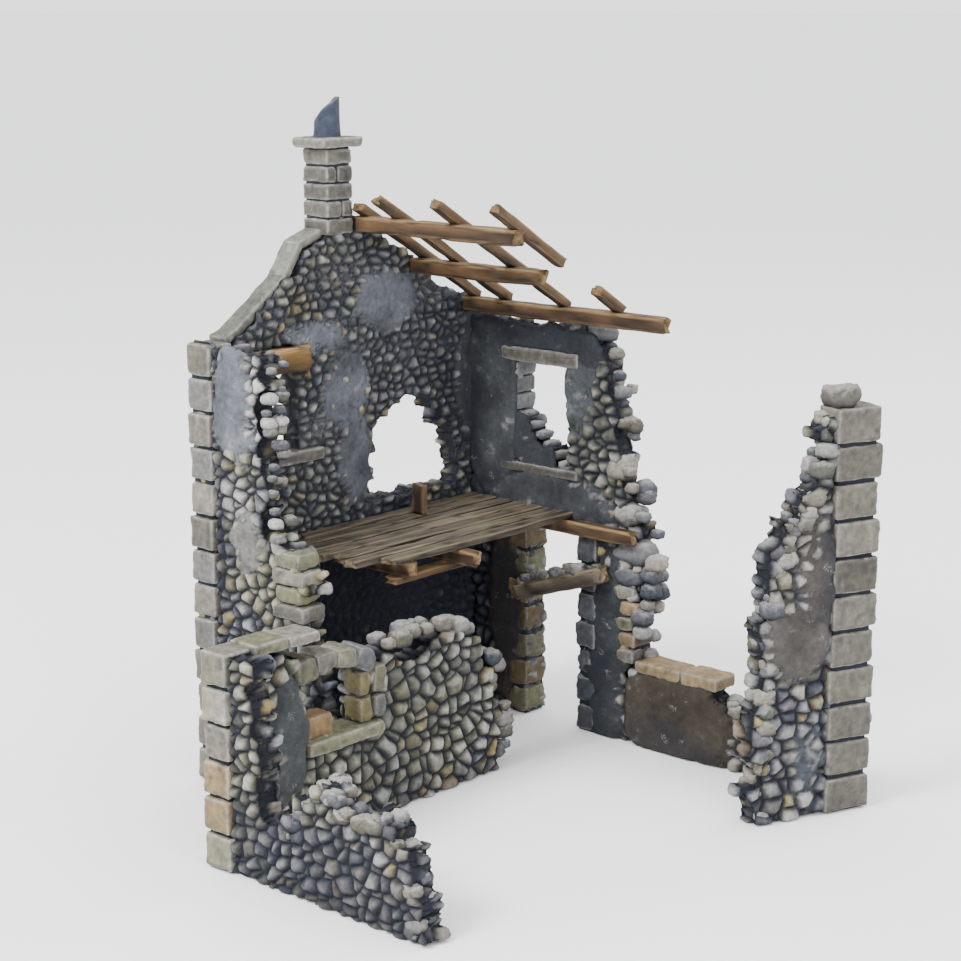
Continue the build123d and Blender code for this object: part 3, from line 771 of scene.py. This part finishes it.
lo, hi, mid = node_box("slot_lintel")
bar("slot_lintel_beam", "slot_lintel", "ochre_timber", (mid[0] + 0.5, lo[1], mid[2]),
    (mid[0] + 0.5, hi[1], mid[2]), hi[0] - lo[0] + 0.6, hi[2] - lo[2], 7, OCHRE,
    snap=(1.5, 2.0), green=0.15, brush=0.8)
slab("slot_sill_stone", "slot_sill", "dressed_stone", GABLE, (18.5, 86.0, -8.5), (39.5, 89.6, 1.6), 21,
     TAUPE * 0.9, soft=0.7, light=0.9)

# smooth render along the gable's left slope
stock = Stock()
for k, (a, b) in enumerate(zip(gable_line[:5], gable_line[1:6])):
    a, b = np.array(a), np.array(b)
    ang = math.atan2(b[1] - a[1], b[0] - a[0])
    mid, run = (a + b) / 2, np.linalg.norm(b - a)
    block(stock, GABLE, (mid[0] - run / 2 - 1.3, mid[1] - 1.6, -8.6),
          (mid[0] + run / 2 + 1.3, mid[1] + 1.3, -1.8), 300 + k, VERGE, soft=1.4, light=0.5, turn=ang)
stock.piece("gable_verge", DRESSED, "masonry")


# ---- corner blocks ----
def corner(name, node_name, place, s, d, top, rows, seed, colours, over=0.0, light=0.7, moss=0.2):
    """A stack of blocks up a corner; every other one reaches further by over."""
    stock = Stock()
    rng = np.random.default_rng(seed)
    filler(stock, place, (s[0] + 0.9, 0, d[0] + 0.9), (s[1] - 0.9, top - 1.2, d[1] - 1.1))
    pitch = top / rows
    for k in range(rows):
        wob = rng.uniform(-0.35, 0.35, 4)
        reach = over if k % 2 else 0.0
        colour = colours[k % len(colours)]
        block(stock, place, (s[0] + wob[0], k * pitch + 0.4, d[0] + wob[1]),
              (s[1] + wob[2] + reach, (k + 1) * pitch - 0.55, d[1] + wob[3]), seed + k, colour,
              soft=0.8, chip=1.2, light=light, moss=moss)
    stock.piece(name, DRESSED, "quoin", node_name)


corner("house_corner_blocks", "house_quoins", FRONT, (-9, -0.2), (-8, 1.0), 123, 13, 400,
       [TAUPE * 1.25, STONES[2] * 1.05, TAUPE + OLIVE * 0.15, TAUPE * 1.35, STONES[2] * 0.9], light=0.8)
corner("porch_corner_blocks", "porch_quoins", PORCH_FRONT, (40, 49), (-8, 1.0), 57, 6, 430,
       [OLIVE + 0.05, BROWN * 1.5, BROWN * 1.9, TAUPE * 1.4, CREAM * 0.5, OLIVE * 0.7 + 0.08],
       light=0.85, moss=0.3)
corner("right_corner_blocks", "right_quoins", RIGHT, (-13.2, 0.2), (-8.3, 1.2), 110, 11, 460,
       [TAUPE * 0.9, TAUPE * 0.75, TAUPE * 1.0, TAUPE * 0.8 + OLIVE * 0.15, TAUPE * 0.85],
       over=0.8, light=0.45)
stock = Stock()
cobble(stock, RIGHT, (-9.6, 112.1, -3.6), (4.9, 3.3, 4.1), 77, TAUPE * 0.8)
stock.piece("right_top_boulder", STONE, "masonry", "right_top_stone")

# ---- right wall ----
right_edge = [
    (-13, 109.8), (-16, 108.5), (-18.5, 96.5), (-21, 85.5), (-26.5, 80.5), (-31.5, 70.5), (-33.5, 56.5),
    (-34, 39.5), (-34.5, 35.5), (-35, 24.5), (-35, 0),
]
stock = Stock()
rubble_wall(
    stock, RIGHT, [(-12, 0), (-12, 109.8)] + right_edge[1:], 131, res=0.45, hard=(-40.0, -12.4),
    rubble=Rubble(131, 4.5, 3.7),
    plaster=[(((-22.5, 49), (8.5, 10)), 1.3, PANEL * 0.8), (((-17.5, 62), (4.5, 14)), 1.3, PANEL * 0.65),
             (((-19, 14), (4, 8)), 0.1, STONES[3])],
    tints=[(((-30, 62), (6, 8)), CREAM * 0.45, 0.7), (((-21, 82), (8, 16)), CREAM * 0.4, 0.7),
           (((-32, 45), (5, 14)), STONES[2] * 1.3, 0.7), (((-22, 18), (10, 12)), LILAC, 0.35)],
    dark=[(((-13.5, 55), (2.6, 62)), 0.75), (((-36, 8), (12, 14)), 0.35)], yellow=0.06,
)
capstones(stock, RIGHT, right_edge[::-1], 5, size=2.3, every=3.7, inset=2.4,
          colours=[STONES[2] * 1.6, CREAM * 0.5])
stock.piece("right_stonework", STONE, "masonry", "right_wall")

# ---- house front wall stub ----
front_edge = [
    (41, 0), (41, 26), (38, 26), (36, 40), (34, 52), (34, 70), (21, 72), (19, 90), (17.5, 106), (19.5, 120),
    (0, 123),
]
stock = Stock()
rubble_wall(
    stock, FRONT, [(0, 0)] + front_edge, 151, res=0.5, hard=(0.0, 41.5),
    plaster=[(((7.5, 108), (6.5, 15)), 1.2, BLUE_GREY), (((12, 70), (4.5, 6)), 0.8, STONES[2] * 0.9)],
    tints=[(((22, 62), (16, 12)), OLIVE * 1.3, 0.6), (((30, 62), (6, 8)), YELLOW * 0.7, 0.5),
           (((9, 92), (5, 5)), YELLOW * 0.6, 0.7), (((17.5, 106), (4.5, 18)), PALE * 1.1, 0.8),
           (((9, 82), (9, 7)), PALE * 0.8, 0.6)],
    dark=[(((2.2, 62), (2.4, 70)), 0.8)],
)
capstones(stock, FRONT, [(21, 72), (19, 90), (17.5, 106), (19.5, 120)], 9, size=1.6, every=3.0, inset=1.7,
          colours=[PALE, PALE * 0.8])
stock.piece("front_stonework", STONE, "masonry", "front_wall")
stock = Stock()
for k, colour in enumerate((TAUPE, OLIVE * 1.1, CREAM * 0.4, OLIVE * 0.8 + 0.04)):
    step_in = k % 2
    block(stock, FRONT, (22.5 + step_in, 52.5 + k * 4.7, -7.6), (34.6 - step_in * 1.4, 57 + k * 4.7, 1.0),
          520 + k, colour, soft=1.7, light=0.5, moss=0.5)
stock.piece("front_end_blocks", DRESSED, "masonry")

# ---- back wall ----
DOOR_U, DOOR_W, JAMB, DOOR_H = 23.0, 19.5, 7.0, 60.0
back_edge = [
    (62, 0), (62, 24.5), (63, 40), (67, 57), (64.5, 59.5), (55.5, 82), (53.5, 105), (50, 120), (0, 120),
]
WINDOW = [(17.5, 78), (37, 78), (37, 112.5), (17.5, 112.5)]
stock = Stock()
rubble_wall(
    stock, BACK, [(0, 0)] + back_edge, 171, res=0.5, hard=(0.0, 70.0),
    cut=[[(23.0, -5), (42.5, -5), (42.5, 60), (23.0, 60)], WINDOW],
    rubble=Rubble(171, 4.2, 3.4),
    plaster=[(((8, 96), (13, 30)), 1.3, MORTAR * 0.72), (((26, 68), (24, 8)), 1.2, MORTAR * 0.6),
             (((30, 116), (30, 6)), 1.1, MORTAR * 0.8), (((41, 104), (5, 12)), 0.9, MORTAR * 1.1),
             (((14, 34), (7, 26)), 1.0, BROWN * 0.7), (((52.5, 24), (5.5, 32)), 1.2, MORTAR * 0.5)],
    tints=[(((58, 34), (6, 12)), BROWN * 1.5, 0.5), (((60, 54), (7, 6)), CREAM * 0.7, 0.7),
           (((50, 112), (10, 8)), STONES[6], 0.4), (((47, 88), (10, 26)), OLIVE * 0.7, 0.6)],
    dark=[(((10, 30), (16, 34)), 0.8), (((2, 90), (4, 34)), 0.7), (((47, 92), (12, 26)), 0.25),
          (((46, 20), (10, 34)), 0.55), (((30, 117), (34, 5)), 0.6)],
)
capstones(stock, BACK, [(62, 24.5), (63, 40), (67, 57), (64.5, 59.5), (55.5, 82), (53.5, 105), (50, 120)], 12,
          size=2.5, every=4.6, inset=2.2, colours=[CREAM * 0.6, TAUPE * 1.3, STONES[2] * 1.5])
boulders = (
    ((61.5, 56.5, -3.5), (6.2, 4.3, 5.0), STONES[1] * 1.2),
    ((60.0, 49.5, -3.0), (4.6, 3.2, 4.6), STONES[0]),
    ((58.5, 67.0, -3.6), (4.4, 3.6, 4.6), STONES[2] * 1.3),
    ((55.2, 80.5, -3.6), (3.6, 4.4, 4.2), CREAM * 0.5),
    ((47.0, 119.0, -3.8), (4.0, 2.8, 4.2), STONES[1]),
)
for k, (middle, radii, colour) in enumerate(boulders):
    cobble(stock, BACK, middle, radii, 980 + k, colour)
stock.piece("back_stonework", STONE, "masonry", "back_wall")
stock = Stock()
edge_blocks = (
    (56.4, TAUPE), (57.3, BROWN * 1.1), (56.6, OLIVE * 0.9), (57.6, BROWN * 1.35), (56.9, CREAM * 0.4),
)
for k, (left, colour) in enumerate(edge_blocks):
    right, foot = left + 6.9 - 0.5 * (k % 3), 24.0 + k * 4.7
    block(stock, BACK, (left, foot, -8.4), (right, foot + 4.2, 0.9), 590 + k, colour,
          soft=1.3, chip=1.2, light=0.55, moss=0.3)
stock.piece("back_edge_blocks", DRESSED, "masonry")

slab("window_lintel_stone", "window_lintel", "dressed_stone", BACK, (12.5, 108, -8.2), (42, 112.5, 1.5), 560,
     TAUPE * 0.75, soft=0.8)
stock = Stock()
rubble_wall(stock, BACK, [(17.2, 77.6), (37.3, 77.6), (17.2, 95)], 176, res=0.4, hard=(17.2, 37.2),
            rubble=Rubble(176, 4.0, 3.2), plaster=[(((22, 82), (16, 12)), 0.9, MORTAR * 0.6)],
            dark=[(((20, 80), (16, 14)), 0.4)])
for k in range(6):
    cobble(stock, BACK, (19.0 + 3.1 * k, 91.4 - 2.6 * k, -3.8), (1.8, 1.4, 3.6), 820 + k)
stock.piece("window_fill_stones", STONE, "masonry", "window_fill")
stock = Stock()
block(stock, BACK, (12.5, 75, -8.2), (42, 78, 1.3), 561, TAUPE * 0.6, soft=0.8, light=0.5)
for k in range(6):
    reach = 2.6 if k % 2 else 1.0
    foot = 78.2 + k * 5.0
    block(stock, BACK, (17.5 - reach, foot, -8.2), (18.2 + 0.5 * (k % 2), foot + 4.7, 0.7), 570 + k,
          STONES[1] * 0.9, soft=1.3, chip=1.3, light=0.45)
stock.piece("window_sill_stone", DRESSED, "dressed_stone", "window_sill")


def jamb(name, node_name, left, seed, colours, soft, light):
    stock = Stock()
    filler(stock, BACK, (left + 0.8, 0, -7.4), (left + JAMB - 0.8, DOOR_H - 1, 0.2))
    pitch = DOOR_H / 7
    for k in range(7):
        wob = chance(k, seed, 1, 9) * 1.2
        block(stock, BACK, (left - 0.3, k * pitch + 0.2, -8.2),
              (left + JAMB + 0.2, (k + 1) * pitch - 0.5, 0.6 + wob), seed + k, colours[k % len(colours)],
              soft=soft, chip=1.3, light=light, moss=0.25, rough=0.6)
    stock.piece(name, DRESSED, "quoin", node_name)


jamb("door_left_jamb", "door_left_blocks", DOOR_U - JAMB, 600,
     [OLIVE * 0.75, BROWN * 0.9, OLIVE * 0.6 + 0.02, BROWN * 0.7, BROWN * 1.1], 1.7, 0.35)
jamb("door_right_jamb", "door_right_blocks", DOOR_U + DOOR_W, 620,
     [MORTAR * 0.75, STONES[3] * 0.9, MORTAR, STONES[0] * 0.8], 1.4, 0.45)

# ---- fallen lintel and its rubble ----
tilt = math.radians(19.0)
lintel_along = np.array((math.cos(tilt), math.sin(tilt)))
lintel_up = np.array((-math.sin(tilt), math.cos(tilt)))
start = np.array((DOOR_U - 1, 37.0))
run = DOOR_W + 16
first = start + 1.8 * lintel_up
last = first + run * lintel_along
bar("fallen_lintel_beam", "fallen_lintel", "floor_timber", BACK.at(*first, 3.0), BACK.at(*last, 3.0),
    5.0, 5.0, 31, GREY_TIMBER * 1.35, snap=(1.5, 2.5), green=0.2)
stock = Stock()
rng = np.random.default_rng(14)
for k in range(17):
    t = 3 + 24.0 * k / 16 + rng.uniform(-0.6, 0.6)
    up = 3.9 + rng.uniform(0, 1.6)
    r = rng.uniform(1.3, 2.3)
    s, h = start + t * lintel_along + up * lintel_up
    cobble(stock, BACK, (s, h, 2.4 + rng.uniform(-1.6, 1.2)), (r * 1.1, r * 0.8, r), 900 + k)
stock.piece("lintel_stones", STONE, "masonry", "lintel_rubble")

# ---- low back wall ----
stock = Stock()
low_edge = [(62, 22.5), (94, 22.5), (94, 19), (102, 16), (118, 16), (124, 20), (137, 24)]
rubble_wall(
    stock, BACK, [(62, 0), (134, 0), (134, 23)] + low_edge[-2::-1], 191, res=0.5, hard=(61.5, 133.0),
    plaster=[(((78, 11), (20, 15)), 1.5, DARK_BROWN)],
    dark=[(((78, 3), (22, 7)), 0.5)],
)
capstones(stock, BACK, low_edge[2:], 15, size=2.5, every=4.4, inset=-0.4, colours=[TAUPE, STONES[2] * 1.3])
stock.piece("low_stonework", STONE, "masonry", "back_low_wall")
stock = Stock()
for k, (s0, s1) in enumerate(((64.5, 80.5), (80.8, 93.5))):
    block(stock, BACK, (s0, 22.2, -8.2), (s1, 25.7 + 0.3 * (k % 2), 1.7), 640 + k, BROWN * 1.35, soft=1.0,
          light=0.5)
stock.piece("low_coping", DRESSED, "dressed_stone", "back_coping")

# ---- porch ----
porch_top = [
    (61.5, 0), (61.5, 19), (57.5, 31), (52.5, 39), (41.5, 44), (28.5, 44.5), (18.5, 42), (15.5, 43),
    (-16.5, 43), (-16.5, 54), (-31.5, 54),
]
PORCH_WINDOW = [(-13.5, 27), (5.5, 27), (5.5, 46), (-13.5, 46)]
stock = Stock()
rubble_wall(
    stock, PORCH_SIDE, [(-31.5, 0)] + porch_top, 211, res=0.45, hard=(-31.6, 66.0), cut=[PORCH_WINDOW],
    plaster=[(((-21.5, 28), (7.0, 13)), 1.35, SLATE_GREY)],
    tints=[(((8, 35), (4, 8)), YELLOW * 0.7, 0.6), (((-5, 15), (12, 6)), STONES[6], 0.35),
           (((10, 30), (60, 30)), OLIVE * 0.75, 0.45)],
    dark=[(((-30, 27), (3, 30)), 0.7), (((30, 3), (60, 4)), 0.35)], yellow=0.07, rubble=Rubble(211, 4.5, 3.8),
)
porch_edge = [(61.5, 4), (61.5, 19), (57.5, 31), (52.5, 39), (41.5, 44), (28.5, 45.5), (15.5, 43)]
capstones(stock, PORCH_SIDE, porch_edge, 18, size=2.4, every=3.9, inset=2.0, colours=[TAUPE, STONES[2] * 1.3])
stock.piece("porch_side_stonework", STONE, "masonry", "porch_side_wall")
slab("porch_sill_stone", "porch_sill", "dressed_stone", PORCH_SIDE, (-14.2, 23.4, -8.3), (13, 27.3, 2.2), 660,
     OLIVE * 1.1 + 0.03, soft=1.2, light=0.7)
stock = Stock()
block(stock, PORCH_SIDE, (-31.8, 54, -8.4), (-20.3, 57.2, 1.6), 670, OLIVE * 1.1 + 0.02, soft=0.9, light=0.8)
block(stock, PORCH_SIDE, (-19.9, 53.6, -8.4), (-9.3, 56.6, 1.5), 671, TAUPE * 1.2, soft=1.1, light=0.8)
stock.piece("porch_coping_slabs", DRESSED, "dressed_stone", "porch_coping")
stock = Stock()
# each stone of the arch: its ends along the wall, its foot and top, its tilt and its paint
arch = [
    (-17.0, -10.2, 43.0, 49.8, 0.15, OLIVE * 0.7 + 0.03),
    (-10.4, -3.0, 44.0, 50.0, 0.0, TAUPE * 0.9),
    (-3.2, 4.4, 43.6, 49.4, -0.14, OLIVE * 0.6 + 0.05),
    (3.6, 11.4, 41.4, 47.8, -0.5, STONES[1]),
    (9.8, 14.6, 34.6, 42.4, -0.1, OLIVE * 0.7 + 0.02),
    (10.0, 14.8, 27.6, 34.4, 0.0, STONES[2] * 0.8),
]
for k, (s0, s1, h0, h1, ang, colour) in enumerate(arch):
    block(stock, PORCH_SIDE, (s0, h0, -8.3), (s1, h1, 1.3), 680 + k, colour, soft=2.4, chip=1.0, light=0.5,
          turn=ang)
for k, (h0, h1) in enumerate(((27.4, 34.4), (34.7, 41.6))):
    block(stock, PORCH_SIDE, (5.0, h0, -6.5), (9.6 - 0.6 * k, h1, 0.9), 740 + k,
          YELLOW * 0.42 + OLIVE * 0.25, soft=1.9, light=0.4, moss=0.3)
stock.piece("porch_lintel_stones", DRESSED, "dressed_stone", "porch_lintel")
slab("porch_loose_brick", "porch_brick", "brick", PORCH_SIDE, (-12, 27, -7), (-3.5, 33, -0.9), 690, BRICK,
     soft=0.8, light=0.35)

porch_front = [
    (113, 0), (111, 17), (105, 24), (101, 30), (95, 27), (90, 25), (85, 31), (79, 32), (75, 27), (64, 15),
    (58.5, 20), (57.5, 46), (57, 55), (49, 55),
]
stock = Stock()
rubble_wall(
    stock, PORCH_FRONT, [(49, 0)] + porch_front, 231, res=0.45, hard=(48.6, 117.0),
    tints=[(((95, 10), (16, 9)), STONES[2], 0.4), (((54, 34), (8, 26)), OLIVE * 0.9 + 0.02, 0.6),
           (((80, 20), (14, 14)), LILAC * 0.9, 0.4), (((78, 28), (12, 8)), OLIVE + 0.03, 0.5)],
    dark=[(((76, 6), (52, 15)), 0.5), (((50.2, 30), (2.4, 34)), 0.75), (((85, 2), (34, 4)), 0.35)],
    yellow=0.05,
)
capstones(stock, PORCH_FRONT, porch_front[:10][::-1], 21, size=2.3, every=3.8, inset=2.1,
          colours=[TAUPE, STONES[2] * 1.3])
stock.piece("porch_front_stonework", STONE, "masonry", "porch_front_wall")

# ---- chimney ----
lo, hi, _ = node_box("chimney_courses")
stock = Stock()
chimney = Place((0, 0), (1, 0))


def upright(lo3, hi3):
    """Corners given as x, y, z, for a frame whose d runs along -Y."""
    return (lo3[0], lo3[2], -hi3[1]), (hi3[0], hi3[2], -lo3[1])


course = (hi[2] - lo[2]) / 5
filler(stock, chimney, *upright((lo[0] + 0.8, lo[1] + 0.8, lo[2]), (hi[0] - 0.8, hi[1] - 0.8, hi[2])))
for k in range(5):
    z0, z1 = lo[2] + k * course + 0.15, lo[2] + (k + 1) * course - 0.25
    for half in (0, 1) if k % 2 else (0,):
        c0, c1 = lo.copy(), hi.copy()
        axis = k % 2
        cut_at = (lo[axis] + hi[axis]) / 2 + (0.8 if k % 3 else -0.9)
        if half:
            c0[axis] = cut_at + 0.2
        elif k % 2:
            c1[axis] = cut_at - 0.2
        block(stock, chimney, *upright((c0[0], c0[1], z0), (c1[0], c1[1], z1)), 700 + 2 * k + half,
              [TAUPE * 0.8, TAUPE * 0.65][half], soft=0.9, chip=1.2, light=0.8)
stock.piece("chimney_blocks", DRESSED, "dressed_stone", "chimney_courses")
lo, hi, _ = node_box("chimney_cap")
slab("chimney_cap_slab", "chimney_cap", "dressed_stone", chimney, *upright(lo, hi), 720, TAUPE * 1.05,
     soft=0.8, light=0.9)

lo, hi, pot_mid = node_box("chimney_pot")
pot_r = (hi[0] - lo[0]) / 2
stock = Stock()
around, levels = 48, 22
ang = np.linspace(0, 2 * math.pi, around, endpoint=False)
top = (hi[2] - lo[2] - 0.6) * (0.30 + 0.70 * ((1 + np.cos(ang - 0.75)) / 2) ** 0.55)
top = top + 0.15 * np.sin(ang * 5)
rings = []
profile = [(pot_r + 0.25, k / levels) for k in range(levels + 1)]
profile += [(pot_r - 0.85, 1 - k / levels) for k in range(levels + 1)]
for r, t in profile:
    flare = 1 + 0.10 * (1 - t) ** 3
    x, y = pot_mid[0] + r * flare * np.cos(ang), pot_mid[1] + r * flare * np.sin(ang)
    rings.append(np.stack([x, y, lo[2] + top * t], 1))
count = len(rings)
idx = np.arange(count * around).reshape(count, around)
nxt = np.roll(idx, -1, axis=1)
faces = np.stack([idx[:-1].ravel(), nxt[:-1].ravel(), nxt[1:].ravel(), idx[1:].ravel()], 1)
v = np.concatenate(rings)
fine = fbm(v, 1.5, 55, 3)
lip = np.tile(np.array([t for _, t in profile])[:, None], (1, around)).ravel()
slate = np.broadcast_to(SLATE, v.shape) * (1 + 0.5 * fine)[:, None]
slate = mix(slate, PALE * 0.8, step(0.93, 1.0, lip) * 0.35)
slate = mix(slate, WASH, (np.arange(len(v)) >= (levels + 1) * around) * 0.6)
stock.add(v, faces, slate, lip * 0.6)
stock.piece("chimney_pot_shell", DRESSED, "slate", "chimney_pot")

# ---- floor ----
for name, ragged, seed in (("front_joist", 2.5, 41), ("middle_joist", 3.0, 42), ("ledge_beam", 3.0, 43)):
    lo, hi, mid = node_box(name)
    bar(name + "_timber", name, "floor_timber", (lo[0], mid[1], mid[2]), (hi[0] + 0.5, mid[1], mid[2]),
        hi[1] - lo[1] + 0.2, hi[2] - lo[2] + 0.2, seed, TIMBER * 0.8, snap=(0, ragged), green=0.2)

GAP = 0.7  # between two floor boards
for k, shade in enumerate((1.1, 0.85, 1.0, 1.2, 0.9, 1.1, 0.8)):
    name = f"floor_plank_{k + 1}"
    lo, hi, mid = node_box(name)
    bar(f"floor_board_{k + 1}", name, "floor_timber", (mid[0], lo[1] - 0.5, mid[2]), (mid[0], hi[1], mid[2]),
        hi[0] - lo[0] - GAP, hi[2] - lo[2], 50 + k, GREY_TIMBER * shade,
        snap=(4.5, 0), bend=0.22, green=0.45, brush=0.3)

lo, hi, mid = node_box("upright_board")
bar("upright_board_timber", "upright_board", "floor_timber", (mid[0], mid[1], lo[2]), (mid[0], mid[1], hi[2]),
    hi[0] - lo[0], hi[1] - lo[1], 61, TIMBER * 1.2, up=(0, 1, 0), snap=(0, 1.6), bend=0.1)
lo, hi, mid = node_box("broken_plank")
bar("broken_plank_timber", "broken_plank", "floor_timber", (mid[0], lo[1], mid[2]), (mid[0], hi[1], mid[2]),
    hi[0] - lo[0], hi[2] - lo[2], 62, TIMBER, snap=(3.5, 3.0), bend=0.2)

# ---- roof ----
BEAM_T, RAFTER_T = 4.6, 2.8
for k, name in enumerate(("ridge_beam", "middle_purlin", "eave_beam")):
    lo, hi, mid = node_box(name)
    h = mid[2] - 0.4
    bar(name + "_timber", name, "roof_timber", (lo[0], mid[1], h), (hi[0] + 0.6, mid[1], h),
        hi[1] - lo[1], BEAM_T, 70 + k, TIMBER * 1.05, snap=(0, 3.0), bend=0.6, green=0.3)
for k, name in enumerate(("rafter_1", "rafter_2", "rafter_3", "rafter_4_upper", "rafter_4_lower")):
    lo, hi, mid = node_box(name)
    bar(name + "_timber", name, "roof_timber", (mid[0], lo[1], hi[2] - 1.3), (mid[0], hi[1], lo[2] + 1.3),
        hi[0] - lo[0] + 0.3, RAFTER_T, 80 + k, TIMBER * 1.1,
        snap=(2.0, 1.6), bend=0.45, green=0.25, brush=0.7)

# ---- floor of the set, light and camera ----
FLOOR = 60.0  # half the side of the floor, in metres
floor_corners = [(-FLOOR, -FLOOR, 0), (FLOOR, -FLOOR, 0), (FLOOR, FLOOR, 0), (-FLOOR, FLOOR, 0)]
floor_mesh = bpy.data.meshes.new("studio_floor")
floor_mesh.from_pydata(floor_corners, [], [(0, 1, 2, 3)])
floor = bpy.data.objects.new("studio_floor", floor_mesh)
bpy.context.scene.collection.objects.link(floor)
floor.location.z = -0.0002
floor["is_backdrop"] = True
pale = bpy.data.materials.new("studio_pale")
pale.use_nodes = True
pale_inputs = pale.node_tree.nodes["Principled BSDF"].inputs
pale_inputs["Base Color"].default_value = (0.93, 0.93, 0.93, 1)
pale_inputs["Roughness"].default_value = 0.9
floor_mesh.materials.append(pale)

world = bpy.data.worlds.new("studio")
bpy.context.scene.world = world
world.use_nodes = True
world.node_tree.nodes["Background"].inputs[0].default_value = (0.97, 0.98, 1.0, 1)
world.node_tree.nodes["Background"].inputs[1].default_value = 2.1


def soft_light(name, place, size, power, aim=(0, 0, 0.08)):
    light = bpy.data.lights.new(name, "AREA")
    light.shape = "DISK"
    light.size = size
    light.energy = power
    o = bpy.data.objects.new(name, light)
    bpy.context.scene.collection.objects.link(o)
    o.location = place
    o.rotation_euler = (Vector(aim) - Vector(place)).to_track_quat("-Z", "Y").to_euler()


soft_light("key", (-0.15, -0.75, 0.85), 0.45, 16.0)
soft_light("fill", (0.9, -0.35, 0.5), 0.6, 2.5)
soft_light("back", (0.2, 0.8, 0.7), 0.5, 3.0)

eye = Vector((0.3607, -0.4014, 0.2098))
target = Vector((0.002, -0.004, 0.091))
camera = bpy.data.cameras.new("camera")
camera.lens = 80.0
camera.sensor_width = 36.0
camera.clip_start = 0.01
camera_object = bpy.data.objects.new("camera", camera)
bpy.context.scene.collection.objects.link(camera_object)
camera_object.location = eye
camera_object.rotation_euler = (target - eye).to_track_quat("-Z", "Y").to_euler()
bpy.context.scene.camera = camera_object

lo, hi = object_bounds()
{"cad": [list(cad_lo), list(cad_hi)], "visual": [list(lo), list(hi)]}
